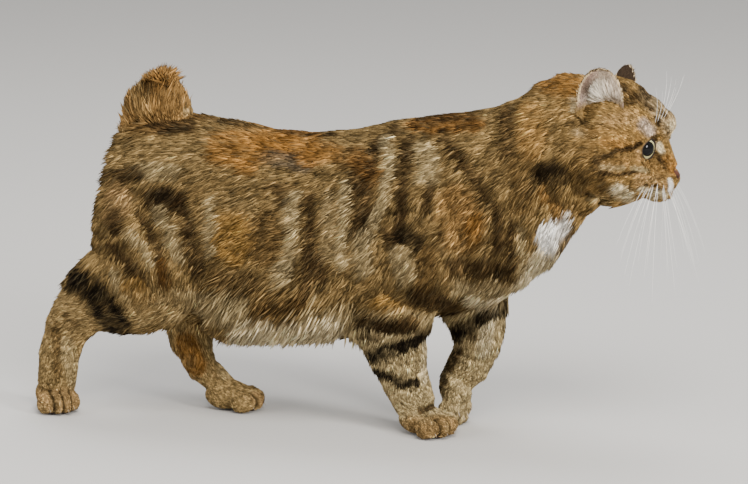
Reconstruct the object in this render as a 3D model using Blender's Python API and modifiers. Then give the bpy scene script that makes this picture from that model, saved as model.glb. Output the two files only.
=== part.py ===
"""A manx cat, walking, at life size: a still model with a stub tail, each named part its own solid.

Units are metres, +Z is up, the cat faces +X and its left side is +Y. The soles are at Z = 0.
Body forms are lofts and ellipsoids. They are fused with a voxel remesh, smoothed, and parted with
thin cuts into the named parts. Ears, eyes and the forms of the face are set from the head's sizes.
Locks of longer hair stand on the tail, belly, chest, neck, thighs, cheeks and elbows.
"""

import math
import random

import bmesh
import bpy
from mathutils import Matrix, Vector
from mathutils.bvhtree import BVHTree

# Driving dimensions
GAP = 0.0003
MIDDLE_X = 0.0200
RING_SIDES = 28
BALL_SIDES = 18
DRUM_SIDES = 48
ROPE_SIDES = 6
PATH_STEPS = 4
BODY_VOXEL = 0.0034
FINE_VOXEL = 0.0015
BODY_TRIANGLES = 4100
HEAD_TRIANGLES = 2700
PAW_TRIANGLES = 480

# Trunk sections from rump to nape: top (x, z), bottom (x, z), half width
TRUNK = (
    ((-0.209, 0.222), (-0.216, 0.160), 0.034),
    ((-0.201, 0.235), (-0.218, 0.128), 0.052),
    ((-0.180, 0.242), (-0.204, 0.102), 0.063),
    ((-0.150, 0.245), (-0.160, 0.086), 0.069),
    ((-0.115, 0.241), (-0.120, 0.080), 0.072),
    ((-0.085, 0.236), (-0.088, 0.081), 0.074),
    ((-0.050, 0.236), (-0.050, 0.084), 0.075),
    ((-0.015, 0.241), (-0.010, 0.088), 0.073),
    ((0.020, 0.250), (0.030, 0.093), 0.070),
    ((0.050, 0.255), (0.070, 0.099), 0.066),
    ((0.078, 0.260), (0.104, 0.110), 0.062),
    ((0.102, 0.266), (0.128, 0.126), 0.058),
    ((0.122, 0.276), (0.148, 0.146), 0.053),
    ((0.138, 0.288), (0.162, 0.168), 0.047),
    ((0.156, 0.293), (0.173, 0.182), 0.042),
    ((0.172, 0.291), (0.184, 0.190), 0.038),
    ((0.190, 0.284), (0.196, 0.200), 0.032),
)
TRUNK_FULLNESS = 2.25
HEAD_SECTIONS = 6

# Legs, each a path of (x, y, z, half width across, half width along)
HIND_RIGHT = (
    (-0.150, -0.042, 0.140, 0.026, 0.040),
    (-0.172, -0.046, 0.116, 0.025, 0.044),
    (-0.204, -0.045, 0.102, 0.023, 0.036),
    (-0.234, -0.040, 0.090, 0.019, 0.025),
    (-0.250, -0.038, 0.072, 0.017, 0.021),
    (-0.259, -0.037, 0.048, 0.016, 0.019),
    (-0.262, -0.037, 0.022, 0.016, 0.018),
)
HIND_LEFT = (
    (-0.135, 0.040, 0.140, 0.026, 0.040),
    (-0.130, 0.042, 0.112, 0.024, 0.036),
    (-0.152, 0.036, 0.094, 0.020, 0.028),
    (-0.180, 0.026, 0.077, 0.017, 0.020),
    (-0.172, 0.020, 0.053, 0.015, 0.017),
    (-0.155, 0.016, 0.032, 0.014, 0.015),
    (-0.134, 0.013, 0.017, 0.015, 0.012),
)
FORE_RIGHT = (
    (0.040, -0.034, 0.150, 0.026, 0.042),
    (0.026, -0.032, 0.108, 0.023, 0.034),
    (0.022, -0.027, 0.082, 0.021, 0.029),
    (0.026, -0.022, 0.060, 0.019, 0.025),
    (0.031, -0.019, 0.042, 0.018, 0.021),
    (0.038, -0.017, 0.024, 0.018, 0.019),
)
FORE_LEFT = (
    (0.070, 0.034, 0.150, 0.026, 0.040),
    (0.071, 0.032, 0.108, 0.021, 0.029),
    (0.075, 0.029, 0.084, 0.018, 0.025),
    (0.077, 0.027, 0.066, 0.017, 0.021),
    (0.070, 0.025, 0.048, 0.016, 0.019),
    (0.060, 0.023, 0.034, 0.015, 0.016),
)
THIGH_CENTRE = (-0.184, 0.036, 0.143)
THIGH_RADII = (0.040, 0.034, 0.072)
SHOULDER_CENTRE = (0.052, 0.038, 0.168)
SHOULDER_RADII = (0.052, 0.034, 0.062)
CHEST_CENTRE = (0.100, 0.0, 0.158)
CHEST_RADII = (0.045, 0.040, 0.045)

# Tail stub as a core in its brush of hair
TAIL = (
    (-0.172, 0.0, 0.205, 0.024, 0.028),
    (-0.180, 0.0, 0.226, 0.022, 0.029),
    (-0.182, 0.0, 0.241, 0.019, 0.027),
    (-0.181, 0.0, 0.254, 0.016, 0.023),
    (-0.180, 0.0, 0.265, 0.008, 0.011),
)

# Head, in its own frame: x to the nose, y to its left, z up
HEAD_CENTRE = (0.193, 0.002, 0.250)
HEAD_YAW = math.radians(7)
HEAD_BALLS = (
    ((-0.002, 0.0, 0.001), (0.041, 0.039, 0.041)),
    ((0.018, 0.0, -0.002), (0.027, 0.030, 0.030)),
    ((0.010, 0.0, -0.040), (0.030, 0.026, 0.019)),
    ((0.027, 0.0, -0.031), (0.021, 0.021, 0.019)),
    ((0.034, 0.0, -0.0485), (0.0115, 0.010, 0.0075)),
)
HEAD_PAIRS = (
    ((0.0335, 0.013, 0.004), (0.013, 0.012, 0.010)),
    ((-0.002, 0.023, -0.022), (0.032, 0.024, 0.029)),
    ((0.016, 0.019, -0.026), (0.024, 0.019, 0.022)),
    ((0.0385, 0.0085, -0.0385), (0.0125, 0.0115, 0.0095)),
)
NOSE_BRIDGE = (
    (0.0280, 0.0, -0.002, 0.0130, 0.0130),
    (0.0330, 0.0, -0.012, 0.0095, 0.0095),
    (0.0385, 0.0, -0.022, 0.0085, 0.0085),
    (0.0430, 0.0, -0.031, 0.0075, 0.0075),
)

# Eyes and their lids, in the head's frame
EYE_CENTRE = (0.0225, 0.0175, -0.0115)
EYE_RADIUS = 0.0105
EYE_TURN = math.radians(18)
LID_RADIUS = 0.0018
LID_WIDE = math.radians(62)
LID_HIGH = math.radians(52)
LID_SEAT = 0.0008
LID_PINCH = 0.25
LID_SIDES = 8

# Nostrils and mouth, in the head's frame
NOSTRIL_PLACE = (0.0495, 0.0042, -0.0345)
NOSTRIL_STEP = (-0.0022, 0.0011, 0.0004)
NOSTRIL_RADII = (0.0017, 0.0014, 0.0008)
MOUTH_LINE = (
    (0.0500, 0.0, -0.0385),
    (0.0475, 0.0005, -0.0435),
    (0.0440, 0.0060, -0.0470),
    (0.0370, 0.0120, -0.0480),
    (0.0290, 0.0165, -0.0460),
    (0.0200, 0.0195, -0.0420),
)
MOUTH_CUT = 0.0008
MOUTH_END = 0.00024
LIP_RADIUS = 0.0012
LIP_BACK = 0.001

# Ears: place of the base's middle and the tip's direction, in the head's frame
EAR_HEIGHT = 0.036
EAR_HALF_WIDTH = 0.0178
EAR_DEPTH = 0.012
EAR_WALL = 0.0018
EAR_FULLNESS = 2.6
EAR_TIP_SHARE = 0.34
EAR_TAPER = 0.55
EAR_GAP = 0.00045
EAR_RIGHT = ((-0.0072, -0.032, 0.0160), (0.0, -0.25, 1.0), (0.15, -1.0, 0.0))
EAR_LEFT = ((0.0020, 0.030, 0.0105), (0.08, 0.36, 1.0), (0.90, 0.75, 0.1))

# Ear and lid grids
EAR_ROWS = 8
EAR_COLUMNS = 10
EAR_ROOT = -0.25
EAR_ARC = math.radians(72)
LID_STEPS = 24
FACE_VOXEL = 0.0011
EYE_RISE = math.radians(4)
ORBIT_CENTRE = (0.0100, 0.0, 0.0)
ORBIT_RADII = (0.0075, 0.0092, 0.0082)
SMOOTH_FACTOR = 0.5
BODY_SMOOTHING = 10
HEAD_SMOOTHING = 24
FACE_SMOOTHING = 2
PAW_SMOOTHING = 4

# Forms of a paw that points along +X: palm, toes by step sideways and reach, and their knuckles
PALM = (
    ((-0.008, 0.0, 0.0125), (0.019, 0.0165, 0.0135)),
    ((0.004, 0.0, 0.009), (0.016, 0.0150, 0.010)),
)
TOES = ((-1.5, 0.008), (-0.5, 0.0135), (0.5, 0.0135), (1.5, 0.008))
TOE_PITCH = 0.0088
TOE_HEIGHT = 0.0085
TOE_RADII = (0.0105, 0.0058, 0.0095)
KNUCKLE_BACK = 0.010
KNUCKLE_CLOSER = 0.85
KNUCKLE_HEIGHT = 0.013
KNUCKLE_RADII = (0.011, 0.0062, 0.0085)
PAW_STOPS = 4

# Paws: place of the sole's middle, heading, bend about the side axis and spread of the toes
PAWS = {
    "hind_paw_right": ((-0.262, -0.038, 0.0), math.radians(-48), 0.0, 1.12),
    "hind_paw_left": ((-0.124, 0.012, 0.0), math.radians(4), 0.0, 1.0),
    "fore_paw_right": ((0.050, -0.020, 0.0), math.radians(-22), 0.0, 1.12),
    "fore_paw_left": ((0.050, 0.022, 0.020), math.radians(-8), math.radians(80), 0.95),
}
LEGS = {
    "hind_paw_right": HIND_RIGHT,
    "hind_paw_left": HIND_LEFT,
    "fore_paw_right": FORE_RIGHT,
    "fore_paw_left": FORE_LEFT,
}

# Cuts between the parts: a block by low corner, size and turn, a drum by centre, radius and sides
PAW_CUT = ((-0.40, -0.20, 0.0), (0.80, 0.40, 0.033), 0.0)
HEAD_CUT = ((0.1756, -0.10, 0.14), (0.20, 0.20, 0.25), math.radians(-5.2))
CUTS = {
    "tail": ("block", (-0.240, -0.06, 0.2265), (0.105, 0.12, 0.10), math.radians(-14)),
    "neck": ("block", (0.176, -0.10, 0.09), (0.20, 0.20, 0.30), math.radians(-23.4)),
    "thigh_right": ("drum", (-0.188, 0.142), 0.075, (-0.12, -0.0155)),
    "thigh_left": ("drum", (-0.180, 0.150), 0.066, (0.0155, 0.12)),
    "hind_leg_right": ("block", (-0.320, -0.12, -0.02), (0.105, 0.1045, 0.145), 0.0),
    "hind_leg_left": ("block", (-0.250, -0.012, -0.02), (0.170, 0.10, 0.094), 0.0),
    "fore_leg_right": ("block", (-0.0124, -0.10, -0.070), (0.15, 0.102, 0.15), math.radians(-10.4)),
    "fore_leg_left": ("block", (-0.0124, 0.0025, -0.070), (0.15, 0.10, 0.15), math.radians(-10.4)),
}

# Locks of longer hair. A group is its part, the line its roots lie on, count, way, lift, length and
# width. A group whose line keeps off the midline is made on both sides where it is marked so.
LOCK_SEED = 7
LOCK_THICKNESS = 0.30
LOCK_SINK = 0.0030
LOCK_CLEARANCE = 0.0014
LOCK_SAMPLES = 12
LOCK_TRIES = (1.0, 0.8, 0.62)
LOCK_VARIETY = 0.14
LOCK_TRUE = 0.50
LOCK_EDGE = 0.0025
LOCK_SLOPE = 2.4
LOCK_SCATTER = 0.3
LOCK_RINGS = ((0.0, 0.75), (0.38, 1.0), (0.72, 0.66))
ONE = (1,)
BOTH = (1, -1)
LOCKS = (
    ("torso", BOTH, ((0.035, 0.047, 0.104), (-0.02, 0.052, 0.092), (-0.08, 0.053, 0.088),
                     (-0.14, 0.048, 0.092)), 12, (-0.50, 0.0, -0.85), 20, 0.037, 0.020, -0.12),
    ("torso", BOTH, ((0.01, 0.018, 0.090), (-0.14, 0.018, 0.086)), 5, (-0.6, 0.0, -0.8), 22, 0.034,
     0.021, -0.16),
    ("torso", ONE, ((0.145, 0.0, 0.142), (0.105, 0.0, 0.110)), 4, (-0.6, 0.0, -0.8), 9, 0.026,
     0.016, -0.14),
    ("torso", BOTH, ((-0.155, 0.045, 0.232), (-0.195, 0.028, 0.218)), 3, (-0.7, 0.1, -0.7), 9, 0.024,
     0.015, -0.12),
    ("neck", ONE, ((0.182, 0.0, 0.190), (0.168, 0.0, 0.176), (0.155, 0.0, 0.158)), 5,
     (-0.6, 0.0, -0.8), 7, 0.022, 0.014, -0.14),
    ("neck", BOTH, ((0.166, 0.034, 0.236), (0.160, 0.036, 0.205), (0.156, 0.030, 0.178)), 5,
     (-0.55, 0.0, -0.85), 9, 0.026, 0.015, -0.12),
    ("neck", BOTH, ((0.150, 0.043, 0.262), (0.140, 0.046, 0.215)), 2, (-0.7, 0.0, -0.75), 8, 0.026,
     0.016, -0.12),
    ("thigh", BOTH, ((-0.214, 0.028, 0.195), (-0.223, 0.034, 0.160), (-0.224, 0.040, 0.120)), 8,
     (-0.45, 0.0, -0.9), 14, 0.028, 0.016, -0.14),
    ("thigh", BOTH, ((-0.165, 0.062, 0.108), (-0.140, 0.060, 0.104)), 3, (-0.35, 0.0, -0.95), 9,
     0.024, 0.015, -0.10),
    ("fore_leg", BOTH, ((0.000, 0.036, 0.106), (0.002, 0.030, 0.080)), 3, (-0.35, 0.0, -0.95), 10,
     0.018, 0.012, -0.08),
)
# Cheeks and throat, in the head's frame
HEAD_LOCKS = (
    ("head", BOTH, ((0.004, 0.044, -0.014), (-0.002, 0.046, -0.030), (-0.002, 0.036, -0.048)), 5,
     (-0.75, 0.05, -0.65), 10, 0.018, 0.012, -0.10),
    ("head", ONE, ((0.018, 0.0, -0.058), (0.006, 0.0, -0.060)), 2, (-0.8, 0.0, -0.5), 7, 0.014,
     0.010, -0.08),
)
# Brush of the tail: height of the roots' ring, count, way outwards, lift, length and width
BRUSH = (
    (0.2475, 10, 0.40, 22, 0.036, 0.018),
    (0.2535, 9, 0.30, 22, 0.033, 0.018),
    (0.2600, 8, 0.20, 24, 0.026, 0.017),
    (0.2660, 5, 3.00, 58, 0.019, 0.014),
)
BRUSH_MIDDLE = (-0.181, 0.0)
BRUSH_REACH = 0.030
BRUSH_SCATTER = 0.2
BRUSH_CURL = -0.22
BRUSH_TILT = math.tan(math.radians(14))

# Colour and roughness by the first word of a part's name
FINISHES = {
    "torso": ((0.24, 0.18, 0.11), 0.90),
    "neck": ((0.26, 0.19, 0.11), 0.90),
    "head": ((0.30, 0.22, 0.14), 0.90),
    "tail": ((0.28, 0.17, 0.09), 0.90),
    "thigh": ((0.24, 0.18, 0.11), 0.90),
    "hind": ((0.30, 0.23, 0.15), 0.90),
    "fore": ((0.29, 0.22, 0.14), 0.90),
    "ear": ((0.36, 0.27, 0.20), 0.85),
    "eye": ((0.22, 0.25, 0.10), 0.10),
}


def clear_scene():
    for old in list(bpy.data.objects):
        bpy.data.objects.remove(old, do_unlink=True)


def material(name, colour, roughness):
    made = bpy.data.materials.new(name)
    made.use_nodes = True
    shader = made.node_tree.nodes["Principled BSDF"]
    shader.inputs["Base Color"].default_value = (*colour, 1.0)
    shader.inputs["Roughness"].default_value = roughness
    shader.inputs["Metallic"].default_value = 0.0
    return made


def add_object(name, mesh, group):
    made = bpy.data.objects.new(name, mesh)
    group.objects.link(made)
    return made


def evaluated_mesh(thing):
    """The thing's mesh with its modifiers applied."""
    bpy.context.view_layer.update()
    graph = bpy.context.evaluated_depsgraph_get()
    return bpy.data.meshes.new_from_object(thing.evaluated_get(graph))


def apply_modifiers(thing):
    new_mesh = evaluated_mesh(thing)
    old_mesh = thing.data
    thing.modifiers.clear()
    thing.data = new_mesh
    bpy.data.meshes.remove(old_mesh)


def loft(rings):
    """A closed form through rings of points, each ring a list of equal length."""
    form = bmesh.new()
    rows = [[form.verts.new(point) for point in ring] for ring in rings]
    count = len(rows[0])
    for low, high in zip(rows, rows[1:]):
        for i in range(count):
            j = (i + 1) % count
            form.faces.new((low[i], low[j], high[j], high[i]))
    form.faces.new(list(reversed(rows[0])))
    form.faces.new(rows[-1])
    bmesh.ops.recalc_face_normals(form, faces=form.faces)
    return form


def trunk_ring(top, bottom, half_width):
    """A full oval between a top and a bottom point on the midline."""
    middle = Vector(((top[0] + bottom[0]) / 2, 0.0, (top[1] + bottom[1]) / 2))
    up = Vector(((top[0] - bottom[0]) / 2, 0.0, (top[1] - bottom[1]) / 2))
    ring = []
    for i in range(RING_SIDES):
        turn = math.tau * i / RING_SIDES
        side = math.copysign(abs(math.sin(turn)) ** (2 / TRUNK_FULLNESS), math.sin(turn))
        rise = math.copysign(abs(math.cos(turn)) ** (2 / TRUNK_FULLNESS), math.cos(turn))
        ring.append(middle + up * rise + Vector((0.0, side * half_width, 0.0)))
    return ring


def path_rings(path):
    """Ovals across a path of (x, y, z, half width sideways, half width in the path's plane)."""
    points = [Vector(stop[:3]) for stop in path]
    rings = []
    for i, stop in enumerate(path):
        ahead = points[min(i + 1, len(points) - 1)] - points[max(i - 1, 0)]
        ahead.normalize()
        side = Vector((0.0, 1.0, 0.0)) - ahead * ahead.y
        side.normalize()
        front = ahead.cross(side)
        ring = []
        for k in range(RING_SIDES):
            turn = math.tau * k / RING_SIDES
            ring.append(points[i] + side * stop[3] * math.cos(turn) + front * stop[4] * math.sin(turn))
        rings.append(ring)
    return rings


def ball(centre, radii, turn=Matrix()):
    form = bmesh.new()
    bmesh.ops.create_uvsphere(form, u_segments=BALL_SIDES, v_segments=BALL_SIDES * 2 // 3, radius=1.0)
    place = Matrix.Translation(centre) @ turn @ Matrix.Diagonal((*radii, 1.0))
    bmesh.ops.transform(form, matrix=place, verts=form.verts)
    return form


def tube(path):
    return loft(path_rings(path))


def combine(forms):
    """One mesh of several forms, which may still pass through each other."""
    whole = bmesh.new()
    for form in forms:
        scrap = bpy.data.meshes.new("scrap")
        form.to_mesh(scrap)
        form.free()
        whole.from_mesh(scrap)
        bpy.data.meshes.remove(scrap)
    mesh = bpy.data.meshes.new("forms")
    whole.to_mesh(mesh)
    whole.free()
    return mesh


def keep_largest(mesh):
    """Leave only the largest closed surface of a mesh."""
    form = bmesh.new()
    form.from_mesh(mesh)
    left = set(form.faces)
    shells = []
    while left:
        seed = left.pop()
        shell = [seed]
        queue = [seed]
        while queue:
            for edge in queue.pop().edges:
                for face in edge.link_faces:
                    if face in left:
                        left.remove(face)
                        shell.append(face)
                        queue.append(face)
        shells.append(shell)
    shells.sort(key=lambda faces: -sum(face.calc_area() for face in faces))
    for shell in shells[1:]:
        bmesh.ops.delete(form, geom=shell, context="FACES")
    bmesh.ops.triangulate(form, faces=form.faces)
    form.to_mesh(mesh)
    form.free()


def fused(name, forms, voxel, smoothing, triangles, group):
    """Forms made one closed skin: remeshed, smoothed, and thinned to a count of triangles."""
    body = add_object(name, combine(forms), group)
    remesh = body.modifiers.new("Remesh", "REMESH")
    remesh.mode = "VOXEL"
    remesh.voxel_size = voxel
    smooth = body.modifiers.new("Smooth", "SMOOTH")
    smooth.factor = SMOOTH_FACTOR
    smooth.iterations = smoothing
    apply_modifiers(body)
    keep_largest(body.data)
    if triangles is None:
        return body
    thin = body.modifiers.new("Decimate", "DECIMATE")
    thin.ratio = min(1.0, triangles / len(body.data.polygons))
    apply_modifiers(body)
    keep_largest(body.data)
    return body


def boolean(thing, cutter, operation, one_body=True):
    step = thing.modifiers.new(operation, "BOOLEAN")
    step.operation = operation
    step.object = cutter
    step.solver = "EXACT"
    apply_modifiers(thing)
    if one_body:
        keep_largest(thing.data)


def cutter_object(name, form, cutters):
    mesh = bpy.data.meshes.new(name)
    bmesh.ops.recalc_face_normals(form, faces=form.faces)
    form.to_mesh(mesh)
    form.free()
    made = add_object(name, mesh, cutters)
    made.hide_render = True
    made.display_type = "WIRE"
    return made


def block(corner, size, turn, grow=0.0):
    """A box from its low corner, turned about the side axis through that corner."""
    form = bmesh.new()
    bmesh.ops.create_cube(form, size=1.0)
    middle = [extent / 2 for extent in size]
    grown = [extent + 2 * grow for extent in size]
    place = Matrix.Translation(corner) @ Matrix.Rotation(turn, 4, "Y") @ Matrix.Translation(middle)
    bmesh.ops.transform(form, matrix=place @ Matrix.Diagonal((*grown, 1.0)), verts=form.verts)
    return form


def drum(centre, radius, sides, grow=0.0):
    """A cylinder along the side axis, between two side places."""
    form = bmesh.new()
    low, high = sides
    bmesh.ops.create_cone(form, cap_ends=True, segments=DRUM_SIDES, radius1=radius + grow,
                          radius2=radius + grow, depth=high - low + 2 * grow)
    place = Matrix.Translation((centre[0], (low + high) / 2, centre[1]))
    bmesh.ops.transform(form, matrix=place @ Matrix.Rotation(math.pi / 2, 4, "X"), verts=form.verts)
    return form


def part_off(body, name, shape, groups):
    """Part a piece off a body: the piece is what lies in the cutter, and a thin gap stays."""
    parts, cutters = groups
    kind, *sizes = shape
    make = drum if kind == "drum" else block
    piece = add_object(name, body.data.copy(), parts)
    inner = cutter_object(name + "_cut", make(*sizes), cutters)
    boolean(piece, inner, "INTERSECT")
    outer = cutter_object(name + "_gap", make(*sizes, GAP), cutters)
    boolean(body, outer, "DIFFERENCE", False)
    return piece


def head_frame():
    return Matrix.Translation(HEAD_CENTRE) @ Matrix.Rotation(HEAD_YAW, 4, "Z")


def placed(form, place):
    bmesh.ops.transform(form, matrix=place, verts=form.verts)
    return form


def both_sides(centre):
    return (centre, (centre[0], -centre[1], centre[2]))


def trunk_forms():
    forms = [loft([trunk_ring(*section) for section in TRUNK])]
    for centre in both_sides(THIGH_CENTRE):
        forms.append(ball(centre, THIGH_RADII))
    for centre in both_sides(SHOULDER_CENTRE):
        forms.append(ball(centre, SHOULDER_RADII))
    forms.append(ball(CHEST_CENTRE, CHEST_RADII))
    return forms


def head_forms():
    """Skull, brow, cheeks, muzzle, whisker pads and chin, set in the head's frame."""
    forms = [ball(centre, radii) for centre, radii in HEAD_BALLS]
    for centre, radii in HEAD_PAIRS:
        forms += [ball(side, radii) for side in both_sides(centre)]
    forms.append(tube(NOSE_BRIDGE))
    return [placed(form, head_frame()) for form in forms]


def paw_forms(place, heading, bend, spread):
    """A palm and four toes. It points along +X before it is bent and turned."""
    forms = [ball(centre, (long, wide * spread, high)) for centre, (long, wide, high) in PALM]
    for step, reach in TOES:
        side = step * TOE_PITCH * spread
        forms.append(ball((reach, side, TOE_HEIGHT), TOE_RADII))
        knuckle = (reach - KNUCKLE_BACK, side * KNUCKLE_CLOSER, KNUCKLE_HEIGHT)
        forms.append(ball(knuckle, KNUCKLE_RADII))
    turn = Matrix.Rotation(heading, 4, "Z") @ Matrix.Rotation(bend, 4, "Y")
    return [placed(form, Matrix.Translation(place) @ turn) for form in forms]


def direction(yaw, pitch):
    return Vector((math.cos(pitch) * math.cos(yaw), math.cos(pitch) * math.sin(yaw), math.sin(pitch)))


def rope(points, radii):
    """A round rod through points, thinner at its ends where the radii say so."""
    count = len(points)
    rings = []
    for i, point in enumerate(points):
        ahead = (points[min(i + 1, count - 1)] - points[max(i - 1, 0)]).normalized()
        side = ahead.orthogonal().normalized()
        if rings:
            side = last_side - ahead * last_side.dot(ahead)
            side.normalize()
        last_side = side
        front = ahead.cross(side)
        rings.append([
            point + (side * math.cos(turn) + front * math.sin(turn)) * radii[i]
            for turn in (math.tau * k / ROPE_SIDES for k in range(ROPE_SIDES))
        ])
    return loft(rings)


def smooth_path(points):
    """Points along a smooth curve through the given ones, by Catmull-Rom pieces."""
    points = [Vector(point) for point in points]
    ends = [points[0] * 2 - points[1]] + points + [points[-1] * 2 - points[-2]]
    path = []
    for a, b, c, d in zip(ends, ends[1:], ends[2:], ends[3:]):
        for k in range(PATH_STEPS):
            t = k / PATH_STEPS
            path.append((b * 2 + (c - a) * t + (a * 2 - b * 5 + c * 4 - d) * t * t
                         + (b * 3 - a - c * 3 + d) * t ** 3) / 2)
    path.append(points[-1])
    return path


def eye_frame(side):
    turn = Matrix.Rotation(side * EYE_TURN, 4, "Z") @ Matrix.Rotation(-EYE_RISE, 4, "Y")
    return Matrix.Translation((EYE_CENTRE[0], side * EYE_CENTRE[1], EYE_CENTRE[2])) @ turn


def lid_rim(side):
    """The almond rim of the lids, lying on the eyeball."""
    points = []
    for k in range(LID_STEPS):
        turn = math.tau * k / LID_STEPS
        yaw = LID_WIDE * math.cos(turn)
        pitch = LID_HIGH * math.sin(turn) * (1.0 - LID_PINCH * abs(math.cos(turn)))
        points.append(direction(yaw, pitch) * (EYE_RADIUS + LID_SEAT))
    form = bmesh.new()
    rows = []
    for k, point in enumerate(points):
        ahead = (points[(k + 1) % LID_STEPS] - points[k - 1]).normalized()
        out = point.normalized()
        side_way = ahead.cross(out)
        rows.append([
            form.verts.new(point + (out * math.cos(turn) + side_way * math.sin(turn)) * LID_RADIUS)
            for turn in (math.tau * j / LID_SIDES for j in range(LID_SIDES))
        ])
    for k, row in enumerate(rows):
        after = rows[(k + 1) % LID_STEPS]
        for j in range(LID_SIDES):
            beside = (j + 1) % LID_SIDES
            form.faces.new((row[j], row[beside], after[beside], after[j]))
    bmesh.ops.recalc_face_normals(form, faces=form.faces)
    return placed(form, head_frame() @ eye_frame(side))


def head_at(point):
    return head_frame() @ Vector(point)


def lip_path(side):
    return [head_at((x, side * y, z)) for x, y, z in MOUTH_LINE]


def nostril_path(side):
    """Three places from the nose leather inwards and to the side."""
    path = []
    for k in (-1, 0, 1):
        x, y, z = [place + k * step for place, step in zip(NOSTRIL_PLACE, NOSTRIL_STEP)]
        path.append(head_at((x, side * y, z)))
    return path


def build_head(groups):
    parts, cutters = groups
    forms = head_forms() + [loft([trunk_ring(*section) for section in TRUNK[-HEAD_SECTIONS:]])]
    head = fused("head", forms, FINE_VOXEL, HEAD_SMOOTHING, None, parts)
    for side in (1, -1):
        place = head_frame() @ eye_frame(side)
        orbit = placed(ball(ORBIT_CENTRE, ORBIT_RADII), place)
        boolean(head, cutter_object(f"orbit_{side}", orbit, cutters), "DIFFERENCE")
    forms = [mesh_form(head.data)] + [lid_rim(side) for side in (1, -1)]
    for side in (1, -1):
        path = smooth_path(lip_path(side)[2:])
        lip = [point - Vector((LIP_BACK, 0.0, LIP_RADIUS)) for point in path]
        forms.append(rope(lip, [LIP_RADIUS] * len(lip)))
    bpy.data.objects.remove(head)
    head = fused("head", forms, FACE_VOXEL, FACE_SMOOTHING, HEAD_TRIANGLES, parts)
    front = cutter_object("head_front", block(*HEAD_CUT), cutters)
    boolean(head, front, "INTERSECT")
    for side, eye_name in ((1, "eye_left"), (-1, "eye_right")):
        centre = head_frame() @ eye_frame(side) @ Vector((0.0, 0.0, 0.0))
        socket = ball(centre, (EYE_RADIUS + GAP,) * 3)
        boolean(head, cutter_object(eye_name + "_socket", socket, cutters), "DIFFERENCE")
        eye = bpy.data.meshes.new(eye_name)
        form = placed(ball((0, 0, 0), (EYE_RADIUS,) * 3), head_frame() @ eye_frame(side))
        form.to_mesh(eye)
        form.free()
        add_object(eye_name, eye, parts)
        line = smooth_path(lip_path(side))
        groove = rope(line, [MOUTH_CUT] * (len(line) - 1) + [MOUTH_END])
        boolean(head, cutter_object(f"mouth_{side}", groove, cutters), "DIFFERENCE")
        nostril = rope(nostril_path(side), NOSTRIL_RADII)
        boolean(head, cutter_object(f"nostril_{side}", nostril, cutters), "DIFFERENCE")
    return head


def mesh_form(mesh):
    form = bmesh.new()
    form.from_mesh(mesh)
    return form


def ear_form(base, tip_way, open_way):
    """A cup: rows up to a round tip, each row an arc that opens one way."""
    up = Vector(tip_way).normalized()
    out = Vector(open_way)
    out = (out - up * out.dot(up)).normalized()
    wide = up.cross(out)
    form = bmesh.new()
    rows = []
    for i in range(EAR_ROWS + 1):
        rise = EAR_ROOT + (1.0 - EAR_ROOT) * i / EAR_ROWS
        narrow = max(1.0 - max(rise, 0.0) ** EAR_FULLNESS, 0.0) ** 0.5
        half = EAR_HALF_WIDTH * max(narrow, EAR_TIP_SHARE)
        hollow = EAR_DEPTH * (1.0 - EAR_TAPER * max(rise, 0.0))
        row = []
        for j in range(EAR_COLUMNS + 1):
            turn = EAR_ARC * (2.0 * j / EAR_COLUMNS - 1.0)
            across = half * math.sin(turn) / math.sin(EAR_ARC)
            deep = hollow * (math.cos(turn) - math.cos(EAR_ARC)) / (1.0 - math.cos(EAR_ARC))
            row.append(form.verts.new(Vector(base) + up * EAR_HEIGHT * rise + wide * across - out * deep))
        rows.append(row)
    for low, high in zip(rows, rows[1:]):
        for j in range(EAR_COLUMNS):
            form.faces.new((low[j], low[j + 1], high[j + 1], high[j]))
    return placed(form, head_frame())


def build_ear(name, shape, head, groups):
    parts, cutters = groups
    mesh = bpy.data.meshes.new(name)
    form = ear_form(*shape)
    form.to_mesh(mesh)
    form.free()
    ear = add_object(name, mesh, parts)
    wall = ear.modifiers.new("Wall", "SOLIDIFY")
    wall.thickness = EAR_WALL
    wall.offset = 0.0
    apply_modifiers(ear)
    solid = bmesh.new()
    solid.from_mesh(ear.data)
    bmesh.ops.recalc_face_normals(solid, faces=solid.faces)
    solid.to_mesh(ear.data)
    solid.free()
    clear = add_object(name + "_clear", head.data.copy(), cutters)
    clear.hide_render = True
    clear.display_type = "WIRE"
    grow = clear.modifiers.new("Grow", "DISPLACE")
    grow.strength = EAR_GAP
    grow.mid_level = 0.0
    boolean(ear, clear, "DIFFERENCE")
    return ear


def build_paw(name, groups):
    parts, cutters = groups
    forms = paw_forms(*PAWS[name]) + [tube(LEGS[name][-PAW_STOPS:])]
    paw = fused(name, forms, FINE_VOXEL, PAW_SMOOTHING, PAW_TRIANGLES, parts)
    boolean(paw, cutter_object(name + "_cut", block(*PAW_CUT), cutters), "INTERSECT")
    return paw


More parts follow.
